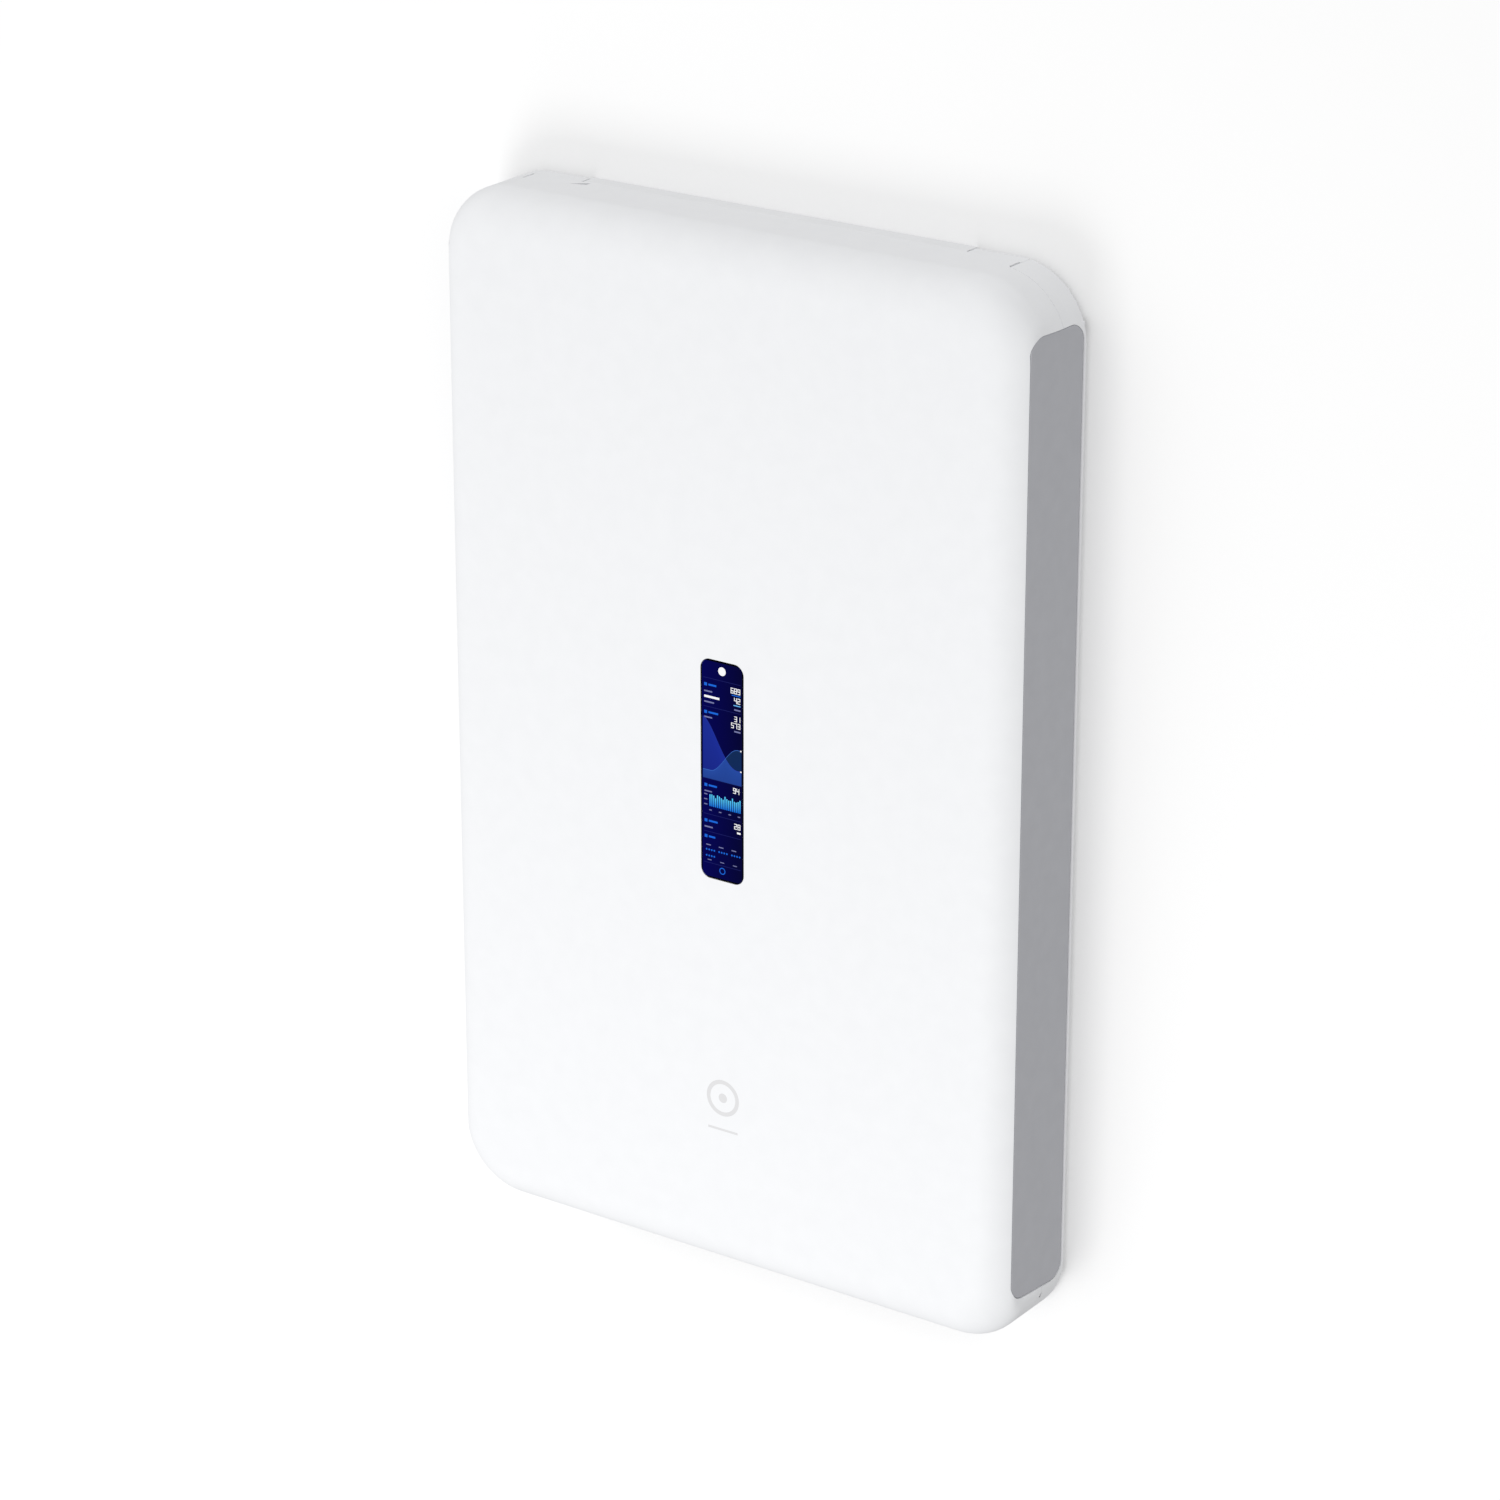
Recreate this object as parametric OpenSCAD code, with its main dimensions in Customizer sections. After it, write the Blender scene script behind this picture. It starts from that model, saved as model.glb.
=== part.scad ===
// Wall-mounted network console: a slim white case with a narrow upright touch display,
// grey side panels and a sheet-steel wall bracket that it hangs on.
// X runs to the right as seen from the front, Y into the wall, Z up.
// The origin is the centre of the four wall screws, on the wall's surface.

/* [Case] */
// Width of the case across its back
body_w = 325; // [300:1:390]
// Height of the case
body_h = 510; // [470:1:620]
// Depth of the case, without the gap to the wall
body_d = 44.3; // [44:0.1:56]
// Gap between the case and the wall
wall_gap = 2.7; // [2.5:0.1:6]
// Radius of the case's corners seen from the front
corner_r = 35; // [28:1:45]
// How far the front edge's blend reaches across the front
blend_w = 22; // [14:0.5:28]
// How far the front edge's blend reaches down the sides
blend_d = 14.5; // [8:0.5:18]
// Wall thickness of the plastic cover
cover_t = 2.5; // [2:0.1:3.2]
// Thickness of the rear housing's sheet
housing_t = 2.5; // [2:0.1:3.2]
// How much each side leans in from the back to the front
side_lean = 3.6; // [0:0.1:6]

/* [Side panels] */
// Height of a side panel
panel_h = 460; // [380:1:560]
// Depth of a side panel, front to back
panel_d = 37.2; // [30:0.1:48]
// Corner radius of a side panel
panel_r = 8; // [3:0.5:14]
// Thickness of a side panel
panel_t = 1.2; // [0.8:0.1:2]
// How far the panels' middle lies above the case's middle
panel_rise = 1.5; // [-5:0.5:5]
// Width of the white lip behind a panel
panel_lip = 1.1; // [0.8:0.1:3]

/* [Display] */
// Width of the display's glass
glass_w = 23.8; // [18:0.1:40]
// Height of the display's glass
glass_h = 108; // [80:0.5:150]
// Corner radius of the display's glass
glass_r = 5; // [2:0.5:9]
// Thickness of the display's glass
glass_t = 1.2; // [0.8:0.1:1.4]

/* [Wall bracket] */
// Width of the bracket
bracket_w = 208; // [180:1:240]
// Thickness of the bracket's steel
bracket_t = 1.5; // [1:0.1:2]
// Distance between the wall screws, left to right
screw_span_x = 150; // [120:1:170]
// Distance between the wall screws, up and down
screw_span_z = 300; // [240:1:360]
// Radius of the wall screws' holes
wall_hole_r = 2.75; // [2:0.05:3.5]
// How far the case lifts to come off the hooks
lift = 11; // [8:0.5:14]
// Width of a hook
hook_w = 22; // [14:1:30]

/* [Cable bay] */
// Inside width of the cable bay
bay_w = 240; // [224:1:260]
// Inside height of the cable bay
bay_h = 63; // [45:1:90]
// Number of network ports in the main row
port_count = 8; // [4:1:8]
// Distance from one network port to the next
port_pitch = 14; // [13.8:0.1:14.4]

/* [Cooling] */
// Width and height of a fan
fan_size = 38; // [30:1:38]
// Thickness of a fan
fan_t = 20; // [10:1:22]
// Number of blades on a fan
fan_blades = 7; // [5:1:9]
// Height of the lower fans above the case's middle
fan_low_z = -70; // [-120:1:-50]
// Height of the upper fans above the case's middle
fan_high_z = 95; // [50:1:150]

/* [Hidden] */

eps = 0.01;
corner_steps = 12;
round_fn = 48;
white = [0.95, 0.955, 0.96];
steel_white = [0.86, 0.87, 0.88];
panel_grey = [0.6, 0.6, 0.61];
board_green = [0.1, 0.3, 0.16];
dark = [0.13, 0.13, 0.14];
bare_metal = [0.72, 0.73, 0.75];
gold = [0.83, 0.68, 0.33];

// Depths, measured from the wall towards the front
y_back = -wall_gap;
y_front = -wall_gap - body_d;
y_inner = y_front + cover_t;
y_plate = y_back - housing_t;
y_blend = y_front + blend_d;
half_w = body_w / 2;
half_h = body_h / 2;
lean_angle = atan(side_lean / (body_d - blend_d / 2));
seam_gap = 0.3;

// --- outlines and general shapes ---------------------------------------------------------

function arc_points(cx, cy, r, from, steps) =
  [for (i = [0:steps]) [cx + r * cos(from + 90 * i / steps), cy + r * sin(from + 90 * i / steps)]];

function rounded_outline(w, h, r, steps = corner_steps) = concat(
  arc_points(w / 2 - r, h / 2 - r, r, 0, steps),
  arc_points(-w / 2 + r, h / 2 - r, r, 90, steps),
  arc_points(-w / 2 + r, -h / 2 + r, r, 180, steps),
  arc_points(w / 2 - r, -h / 2 + r, r, 270, steps)
);

// An upright plate parallel to the wall, from y_rear forwards by t
module upright_plate(w, h, r, y_rear, t) {
  translate([0, y_rear, 0])
    rotate([90, 0, 0])
      linear_extrude(t)
        polygon(rounded_outline(w, h, r));
}

// A box given by its lowest and highest corners
module box(low, high) {
  translate(low)
    cube(high - low);
}

// A round bar or hole along Y, from y0 to y1
module bar_y(x, z, r, y0, y1) {
  translate([x, max(y0, y1), z])
    rotate([90, 0, 0])
      cylinder(h = abs(y1 - y0), r = r, $fn = round_fn);
}

// A pan-head screw that points to the back or the front
module screw_y(x, z, r, y_head, y_tip, head_r, head_t) {
  away = y_head > y_tip ? 1 : -1;
  bar_y(x, z, r, y_head, y_tip);
  bar_y(x, z, head_r, y_head, y_head + away * head_t);
}

// --- round leads that follow a route -----------------------------------------------------

function unit_of(v) = v / norm(v);

function route_direction(points, i) =
  unit_of(points[min(i + 1, len(points) - 1)] - points[max(i - 1, 0)]);

// The ring's first point lies square to both the route and the steady direction
function ring_points(centre, along, steady, r, sides) =
  let (
    across = unit_of(cross(steady, along)),
    other = cross(along, across)
  )
  [for (k = [0:sides - 1]) centre + r * (across * cos(360 * k / sides) + other * sin(360 * k / sides))];

// A point between b and c on the smooth curve that runs a, b, c, d
function smooth_point(a, b, c, d, t) =
  0.5 * (2 * b + (c - a) * t + (2 * a - 5 * b + 4 * c - d) * t * t + (3 * b - a - 3 * c + d) * t * t * t);

function smooth_route(p, steps) = concat(
  [for (i = [0:len(p) - 2], s = [0:steps - 1])
    smooth_point(p[max(i - 1, 0)], p[i], p[i + 1], p[min(i + 2, len(p) - 1)], s / steps)],
  [p[len(p) - 1]]
);

// steady is a direction that the route never runs along
module lead(points, d, steady = [1, 0, 0], sides = 8, steps = 4) {
  route = smooth_route(points, steps);
  rings = len(route);
  corners = [for (i = [0:rings - 1])
    each ring_points(route[i], route_direction(route, i), steady, d / 2, sides)];
  walls = [for (i = [0:rings - 2], k = [0:sides - 1])
    [i * sides + k, i * sides + (k + 1) % sides, (i + 1) * sides + (k + 1) % sides, (i + 1) * sides + k]];
  first_cap = [[for (k = [sides - 1:-1:0]) k]];
  last_cap = [[for (k = [0:sides - 1]) (rings - 1) * sides + k]];
  polyhedron(corners, concat(walls, first_cap, last_cap));
}

// --- the case's outer form ---------------------------------------------------------------

blend_steps = 8;

// Depth and inset of each outline of the slab, from the back to the end of the front blend
function slab_levels(inset, y_rear) = concat(
  [[y_rear, inset]],
  [for (i = [0:blend_steps])
    let (angle = 90 * i / blend_steps)
    [y_blend - (blend_d - inset) * sin(angle), inset + (blend_w - inset) * (1 - cos(angle))]]
);

function level_outline(level) =
  [for (p = rounded_outline(body_w - 2 * level[1], body_h - 2 * level[1], max(corner_r - level[1], 1)))
    [p[0], level[0], p[1]]];

// The slab with its elliptical front blend, made smaller all round by inset
module blended_slab(inset, y_rear) {
  levels = slab_levels(inset, y_rear);
  sides = 4 * (corner_steps + 1);
  last = len(levels) - 1;
  walls = [for (i = [0:last - 1], k = [0:sides - 1])
    [i * sides + k, (i + 1) * sides + k, (i + 1) * sides + (k + 1) % sides, i * sides + (k + 1) % sides]];
  rear_cap = [[for (k = [0:sides - 1]) k]];
  front_cap = [[for (k = [sides - 1:-1:0]) last * sides + k]];
  polyhedron([for (level = levels) each level_outline(level)], concat(walls, rear_cap, front_cap));
}

// The prism whose two sides lean in towards the front
module leaning_prism(inset) {
  lean_end = y_front - 1;
  narrow = (y_back - lean_end) * tan(lean_angle);
  translate([0, 0, -half_h])
    linear_extrude(body_h)
      polygon([
        [half_w - inset, y_back + 1],
        [half_w - inset, y_back],
        [half_w - inset - narrow, lean_end],
        [-half_w + inset + narrow, lean_end],
        [-half_w + inset, y_back],
        [-half_w + inset, y_back + 1],
      ]);
}

module case_solid(inset, y_rear) {
  intersection() {
    blended_slab(inset, y_rear);
    leaning_prism(inset);
  }
}

module case_wall() {
  difference() {
    case_solid(0, y_back);
    case_solid(cover_t, y_back + 1);
  }
}

// --- places on the leaning sides ---------------------------------------------------------

panel_back_y = y_back - panel_lip - seam_gap;
panel_front_y = panel_back_y - panel_d * cos(lean_angle);
panel_inset = 0.7;
panel_top = panel_rise + panel_h / 2;

// Puts its children on the right side's plane: local X outwards, local Y to the back, Z up,
// with local Y = 0 on the panel's front edge and local X = 0 on the panel's outer face
module on_side(right) {
  lean_x = half_w - panel_inset - (y_back - panel_front_y) * tan(lean_angle);
  mirror([right ? 0 : 1, 0, 0])
    translate([lean_x, panel_front_y, panel_rise])
      rotate([0, 0, -lean_angle])
        children();
}

// A plate in the side's plane: grown past the panel's outline by grow, between two local depths
module side_plate(grow, x_in, x_out) {
  translate([x_in, panel_d / 2, 0])
    rotate([90, 0, 90])
      linear_extrude(x_out - x_in)
        polygon(rounded_outline(panel_d + 2 * grow, panel_h + 2 * grow, panel_r + grow));
}

ring_t = 2;
ring_border = 5;
window_depth = panel_t + ring_t + 1.5;
window_reach = 8;

module side_window(right) {
  on_side(right)
    side_plate(seam_gap, -window_depth, window_reach);
}

// The rear corners belong to the side frames, outside this line and behind this depth
frame_seam_x = half_w - 30;
frame_seam_y = y_back - 16;

module side_frame_zone(right, gap) {
  far = half_w + 1;
  mirror([right ? 0 : 1, 0, 0])
    box([frame_seam_x + gap, frame_seam_y + gap, -half_h - 1], [far, y_back + 2, half_h + 1]);
}

// --- the notch for the bracket's top flange ----------------------------------------------

flange_d = 8;
flange_t = bracket_t;
notch_gap = 1;
notch_w = bracket_w + 2 * notch_gap;
notch_front_y = -flange_d - notch_gap;
notch_h = lift + flange_t + notch_gap;
notch_floor_z = half_h - notch_h;

// --- cover screws ------------------------------------------------------------------------

screw_r = 1.5;
screw_hole_r = 1.56;
screw_free_r = 1.8;
screw_head_r = 2.8;
screw_head_t = 1.4;
boss_r = 4.2;
boss_x = half_w - 19;
boss_z = half_h - 27;
boss_places = [for (x = [-boss_x, boss_x], z = [-boss_z, 0, boss_z]) [x, z]];
cover_screw_l = 14;

// --- cable bay ---------------------------------------------------------------------------

bay_wall_t = 2;
bay_top_z = -half_h + bay_h;
bay_front_y = y_plate - 33;
bay_mouth_w = bay_w - 8;
bay_relief = 5;
plate_gap = 0.5;
plate_w = body_w - 11;
plate_h = body_h - 2 * cover_t - 2 * plate_gap;
plate_r = corner_r - 3;
rim_d = 8;
rim_t = 2;
rim_w = 2 * frame_seam_x - 6;

// --- hooks and their slots ---------------------------------------------------------------

hook_x = 80;
hook_high_z = 150;
hook_low_z = -120;
hook_t = 2;
hanger_t = 1.5;
hook_gap = 0.3;
hook_tab_h = lift - 1;
hook_places = [for (x = [-hook_x, hook_x], z = [hook_low_z, hook_high_z]) [x, z]];
slot_w = hook_w + 2;
y_hook_back = y_plate - hanger_t - hook_gap;
y_hook_front = y_hook_back - hook_t;

// Clearance slot in the case: its top edge rests on the hook's stem
module hook_slot(place, y0, y1) {
  box([place[0] - slot_w / 2, y1, place[1] - lift - 0.5], [place[0] + slot_w / 2, y0, place[1] + hook_t]);
}

// --- wall bracket ------------------------------------------------------------------------

bracket_low_z = -half_h + 5;
bracket_top_z = half_h;
window_w = 70;
window_h = 46;
window_z = -half_h + 33;
box_screw_span = 83.3;
box_screw_r = 2.2;
cutout_w = 96;
cutout_high_h = 116;
cutout_low_h = 150;
cutout_r = 12;
cutout_high_z = 70;
cutout_low_z = -80;
key_head_r = 5;
key_slot_r = 2.4;
key_drop = 9;
key_z = half_h - 42;

module bracket_cutout(w, h, r, z) {
  translate([0, 1, z])
    rotate([90, 0, 0])
      linear_extrude(bracket_t + 2)
        polygon(rounded_outline(w, h, r));
}

module keyhole(x) {
  bar_y(x, key_z, key_head_r, 1, -bracket_t - 1);
  bar_y(x, key_z + key_drop, key_slot_r, 1, -bracket_t - 1);
  box([x - key_slot_r, -bracket_t - 1, key_z], [x + key_slot_r, 1, key_z + key_drop]);
}

module hook(place) {
  box([place[0] - hook_w / 2, y_hook_front, place[1]], [place[0] + hook_w / 2, -eps, place[1] + hook_t]);
  box(
    [place[0] - hook_w / 2, y_hook_front, place[1]],
    [place[0] + hook_w / 2, y_hook_back, place[1] + hook_t + hook_tab_h]
  );
}

module wall_bracket() {
  color(steel_white)
    difference() {
      union() {
        box([-bracket_w / 2, -bracket_t, bracket_low_z], [bracket_w / 2, 0, bracket_top_z]);
        box([-bracket_w / 2, -flange_d, bracket_top_z - flange_t], [bracket_w / 2, 0, bracket_top_z]);
        for (place = hook_places)
          hook(place);
      }
      for (x = [-screw_span_x / 2, screw_span_x / 2], z = [-screw_span_z / 2, screw_span_z / 2])
        bar_y(x, z, wall_hole_r, 1, -bracket_t - 1);
      for (x = [-box_screw_span / 2, box_screw_span / 2])
        bar_y(x, window_z, box_screw_r, 1, -bracket_t - 1);
      for (x = [-hook_x, hook_x])
        keyhole(x);
      bracket_cutout(window_w, window_h, 4, window_z);
      bracket_cutout(cutout_w, cutout_high_h, cutout_r, cutout_high_z);
      bracket_cutout(cutout_w, cutout_low_h, cutout_r, cutout_low_z);
    }
}

pad_r = 6;
pad_x = bracket_w / 2 - 9;
pad_high_z = half_h - 60;
pad_low_z = -half_h + 75;

module bracket_pads() {
  color(dark)
    for (x = [-pad_x, pad_x], z = [pad_low_z, pad_high_z])
      bar_y(x, z, pad_r, -bracket_t, y_back + 0.2);
}

// --- front cover -------------------------------------------------------------------------

display_boss_x = 18;
display_boss_z = glass_h / 2 + 2;
display_boss_r = 2.8;
display_boss_l = 3;
display_screw_r = 0.9;
display_places = [for (x = [-display_boss_x, display_boss_x], z = [-display_boss_z, display_boss_z]) [x, z]];
y_display_plate = y_inner + display_boss_l;
glass_gap = 0.2;

module front_cover() {
  color(white)
    difference() {
      union() {
        case_wall();
        for (place = boss_places)
          bar_y(place[0], place[1], boss_r, y_plate, y_inner - cover_t / 2);
        for (place = display_places)
          bar_y(place[0], place[1], display_boss_r, y_display_plate, y_inner - cover_t / 2);
      }
      upright_plate(glass_w + 2 * glass_gap, glass_h + 2 * glass_gap, glass_r + glass_gap, y_inner + 1, cover_t + 2);
      for (right = [false, true]) {
        side_window(right);
        side_frame_zone(right, 0);
      }
      box([-notch_w / 2, notch_front_y, notch_floor_z], [notch_w / 2, y_back + 2, half_h + 1]);
      box([-bay_mouth_w / 2, bay_front_y + 2, -half_h - 1], [bay_mouth_w / 2, y_back + 2, -half_h + cover_t + 1]);
      for (place = boss_places)
        bar_y(place[0], place[1], screw_hole_r, y_plate + 1, y_plate - cover_screw_l);
      for (place = display_places)
        bar_y(place[0], place[1], display_screw_r + 0.05, y_display_plate + 1, y_inner + 0.2);
    }
}

// --- side frames, panels and filters -----------------------------------------------------

lug_w = 14;
lug_d = 12;
lug_t = 2;
lug_high_z = 190;
lug_low_z = 70;
lug_heights = [-lug_high_z, -lug_low_z, lug_low_z, lug_high_z];
lug_screw_x = plate_w / 2 - 5;
lug_inner_x = plate_w / 2 - lug_d + 1;

module side_frame(right) {
  side = right ? 1 : -1;
  color(white)
    difference() {
      union() {
        difference() {
          intersection() {
            case_wall();
            side_frame_zone(right, seam_gap);
          }
          side_window(right);
        }
        on_side(right)
          difference() {
            side_plate(seam_gap - eps, -panel_t - ring_t, -panel_t);
            side_plate(-ring_border, -panel_t - ring_t - 1, -panel_t + 1);
          }
        mirror([right ? 0 : 1, 0, 0])
          for (z = lug_heights)
            box([lug_inner_x, y_plate - lug_t, z - lug_w / 2], [half_w - panel_t - ring_t, y_plate, z + lug_w / 2]);
        mirror([right ? 0 : 1, 0, 0])
          box(
            [plate_w / 2 + 0.4, y_back - panel_lip, panel_rise - panel_h / 2],
            [half_w - cover_t / 2, y_back, panel_top]
          );
      }
      for (z = lug_heights)
        bar_y(side * lug_screw_x, z, screw_hole_r, y_plate + 1, y_plate - lug_t - 1);
    }
}

module side_frame_screws() {
  color(bare_metal)
    for (x = [-lug_screw_x, lug_screw_x], z = lug_heights)
      screw_y(x, z, screw_r, y_back, y_plate - lug_t, screw_head_r, 1.1);
}

module side_panel(right) {
  color(panel_grey)
    on_side(right)
      side_plate(0, -panel_t, 0);
}

filter_t = 1;
filter_inset = 3.6;

module dust_filter(right) {
  color(dark)
    on_side(right)
      side_plate(-filter_inset, -panel_t - ring_t - filter_t, -panel_t - ring_t);
}

// --- rear housing ------------------------------------------------------------------------

vent_w = 26;
vent_h = 2.4;
vent_pitch = 6;
vent_count = 9;
vent_x = plate_w / 2 - 28;
vent_places = [for (x = [-vent_x, vent_x], z = [fan_low_z, fan_high_z]) [x, z]];
bumper_r = 7;
bumper_x = half_w - 24;
bumper_z = half_h - 60;

module vent_field(place) {
  for (i = [0:vent_count - 1]) {
    z = place[1] + (i - (vent_count - 1) / 2) * vent_pitch;
    box([place[0] - vent_w / 2, y_plate - 1, z - vent_h / 2], [place[0] + vent_w / 2, y_back + 1, z + vent_h / 2]);
  }
}

module bay_walls() {
  outer_x = bay_w / 2 + bay_wall_t;
  top_z = bay_top_z + 4;
  low_z = -half_h + cover_t + plate_gap;
  difference() {
    box([-outer_x, bay_front_y - bay_wall_t, low_z], [outer_x, y_back, top_z]);
    box([-bay_w / 2, bay_front_y, low_z - 1], [bay_w / 2, y_back + 1, top_z + 1]);
    box([-outer_x - 1, bay_front_y - bay_wall_t - 1, low_z - 1], [outer_x + 1, y_blend, low_z + bay_relief]);
  }
}

// A pair of stiffening strips folded forwards from the plate's top or bottom edge
module rim_strips(inner_x, z) {
  for (right = [0, 1])
    mirror([right, 0, 0])
      box([inner_x - eps, y_plate - rim_d, z], [rim_w / 2, y_plate + eps, z + rim_t]);
}

module rear_housing() {
  color(steel_white)
    difference() {
      union() {
        difference() {
          upright_plate(plate_w, plate_h, plate_r, y_back, housing_t);
          box([-bay_w / 2 - 1, y_plate - 1, -half_h], [bay_w / 2 + 1, y_back + 1, bay_top_z]);
        }
        bay_walls();
        box(
          [-notch_w / 2 - housing_t, notch_front_y - housing_t, notch_floor_z - housing_t],
          [notch_w / 2 + housing_t, y_back, plate_h / 2]
        );
        rim_strips(notch_w / 2 + housing_t, plate_h / 2 - rim_t);
        rim_strips(bay_w / 2 + bay_wall_t, -plate_h / 2);
      }
      box([-notch_w / 2, notch_front_y, notch_floor_z], [notch_w / 2, y_back + 1, half_h]);
      for (place = hook_places)
        hook_slot(place, y_back + 1, y_plate - 1);
      for (place = vent_places)
        vent_field(place);
      for (place = boss_places)
        bar_y(place[0], place[1], screw_free_r, y_back + 1, y_plate - 1);
      for (x = [-lug_screw_x, lug_screw_x], z = lug_heights)
        bar_y(x, z, screw_free_r, y_back + 1, y_plate - 1);
    }
}

module housing_screws() {
  color(bare_metal)
    for (place = boss_places)
      screw_y(place[0], place[1], screw_r, y_back, y_plate - cover_screw_l + 2, screw_head_r, screw_head_t);
}

module hanger_plates() {
  color(bare_metal)
    for (place = hook_places)
      difference() {
        box(
          [place[0] - slot_w / 2 - 7, y_plate - hanger_t, place[1] - lift - 6],
          [place[0] + slot_w / 2 + 7, y_plate, place[1] + hook_t + 9]
        );
        hook_slot(place, y_plate + 1, y_plate - hanger_t - 1);
      }
}

module wall_bumpers() {
  color(dark)
    for (x = [-bumper_x, bumper_x], z = [-bumper_z, bumper_z])
      bar_y(x, z, bumper_r, y_back, -0.3);
}

// --- display -----------------------------------------------------------------------------

screen_w = glass_w - 1.6;
screen_h = glass_h - 5;
screen_t = 2.4;
y_glass_back = y_front + glass_t;
y_screen_back = y_glass_back + screen_t;
display_plate_t = 1.2;

module display_glass() {
  color([0.02, 0.02, 0.2])
    upright_plate(glass_w, glass_h, glass_r, y_glass_back, glass_t);
}

module display_gasket() {
  color(dark)
    difference() {
      upright_plate(glass_w, glass_h, glass_r, y_inner, y_inner - y_glass_back);
      upright_plate(screen_w + 0.3, screen_h + 0.3, 3, y_inner + 1, y_inner - y_glass_back + 2);
    }
}

module display_panel() {
  color(dark)
    upright_plate(screen_w, screen_h, 2.5, y_screen_back, screen_t);
}

ribbon_w = 10;
ribbon_t = 0.4;

module display_bracket() {
  plate_low = -display_boss_z - 5;
  color(bare_metal)
    difference() {
      union() {
        upright_plate(2 * display_boss_x + 9, 2 * display_boss_z + 10, 4, y_display_plate + display_plate_t, display_plate_t);
        upright_plate(screen_w - 2, screen_h - 20, 2, y_display_plate + eps, y_display_plate + eps - y_screen_back);
      }
      for (place = display_places)
        bar_y(place[0], place[1], display_screw_r + 0.2, y_display_plate + 3, y_display_plate - 2);
      box([-ribbon_w / 2 - 1.5, y_display_plate - 1, plate_low - 1], [ribbon_w / 2 + 1.5, y_display_plate + 3, plate_low + 16]);
    }
}

module display_screws() {
  y_head = y_display_plate + display_plate_t;
  color(bare_metal)
    for (place = display_places)
      screw_y(place[0], place[1], display_screw_r, y_head, y_inner + 0.6, 1.9, 1);
}

// --- boards ------------------------------------------------------------------------------

board_t = 1.6;
standoff_h = 5.8;
y_board = y_plate - standoff_h;
y_board_face = y_board - board_t;
board_w = bay_w - 8;
board_low_z = bay_top_z + 4.2;
board_top_z = 18;
board_margin = 6;
board_foot_margin = 42;
board_mid_z = -45;
standoff_r = 3;
board_holes = [
  for (
    x = [-board_w / 2 + board_margin, board_w / 2 - board_margin],
    z = [board_low_z + board_foot_margin, board_mid_z, board_top_z - board_margin]
  )
    [x, z]
];
supply_w = 200;
supply_low_z = 42;
supply_top_z = hook_high_z - lift - 5;
supply_holes = [
  for (x = [-supply_w / 2 + 5, supply_w / 2 - 5], z = [supply_low_z + 5, supply_top_z - 5]) [x, z]
];
radio_w = 110;
radio_low_z = 168;
radio_top_z = 224;
radio_holes = [
  for (x = [-radio_w / 2 + 5, radio_w / 2 - 5], z = [radio_low_z + 5, radio_top_z - 5]) [x, z]
];
all_holes = concat(board_holes, supply_holes, radio_holes);

module board(w, low_z, top_z, holes) {
  difference() {
    box([-w / 2, y_board_face, low_z], [w / 2, y_board, top_z]);
    for (place = holes)
      bar_y(place[0], place[1], screw_free_r, y_board + 1, y_board_face - 1);
  }
}

module main_board() {
  color(board_green)
    board(board_w, board_low_z, board_top_z, board_holes);
}

module supply_board() {
  color(board_green)
    board(supply_w, supply_low_z, supply_top_z, supply_holes);
}

module radio_board() {
  color(board_green)
    board(radio_w, radio_low_z, radio_top_z, radio_holes);
}

module board_standoffs() {
  color(gold)
    for (place = all_holes)
      difference() {
        translate([place[0], y_plate, place[1]])
          rotate([90, 0, 0])
            cylinder(h = standoff_h, r = standoff_r, $fn = 6);
        bar_y(place[0], place[1], screw_hole_r, y_plate + 1, y_board - 1);
      }
}

module board_screws() {
  color(bare_metal)
    for (place = all_holes)
      screw_y(place[0], place[1], screw_r, y_board_face, y_board + standoff_h - 1, screw_head_r, screw_head_t);
}

// A part that stands on the front of a board: centre, width, height and thickness
module on_board(x, z, w, h, t) {
  box([x - w / 2, y_board_face - t, z - h / 2], [x + w / 2, y_board_face, z + h / 2]);
}

chip_t = 2;
processor_x = -30;
processor_z = -68;
processor_chip_w = 22;
switch_x = 42;
switch_z = -110;
switch_chip_w = 27;
small_chips_z = -24;
memory_x = -64;
memory_pitch = 18;
memory_size = [13, 9, 1.2];
driver_x = 20;
driver_pitch = 22;
driver_size = [14, 14, 1.4];

module main_chips() {
  color(dark) {
    on_board(processor_x, processor_z, processor_chip_w, processor_chip_w, chip_t);
    on_board(switch_x, switch_z, switch_chip_w, switch_chip_w, chip_t);
    for (i = [0:2])
      on_board(memory_x + memory_pitch * i, small_chips_z, memory_size[0], memory_size[1], memory_size[2]);
    for (i = [0:1])
      on_board(driver_x + driver_pitch * i, small_chips_z, driver_size[0], driver_size[1], driver_size[2]);
  }
}

fin_t = 1.4;

module heatsink(x, z, size, fins, fin_h) {
  pitch = (size - fin_t) / (fins - 1);
  y_base = y_board_face - chip_t;
  base_t = 3;
  box([x - size / 2, y_base - base_t, z - size / 2], [x + size / 2, y_base, z + size / 2]);
  for (i = [0:fins - 1])
    box(
      [x - size / 2 + i * pitch, y_base - base_t - fin_h, z - size / 2],
      [x - size / 2 + i * pitch + fin_t, y_base - base_t + eps, z + size / 2]
    );
}

module processor_heatsink() {
  color(bare_metal)
    heatsink(processor_x, processor_z, 56, 12, 13);
}

module switch_heatsink() {
  color(bare_metal)
    heatsink(switch_x, switch_z, 48, 10, 13);
}

card_x = 82;
card_w = 22;
card_l = 80;
card_low_z = -104;
card_lift = 3;
card_t = 1;
card_socket_l = 6;
card_chip_w = 14;
card_chip_t = 1.4;
card_chip_steps = [12, 32, 56];

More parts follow.
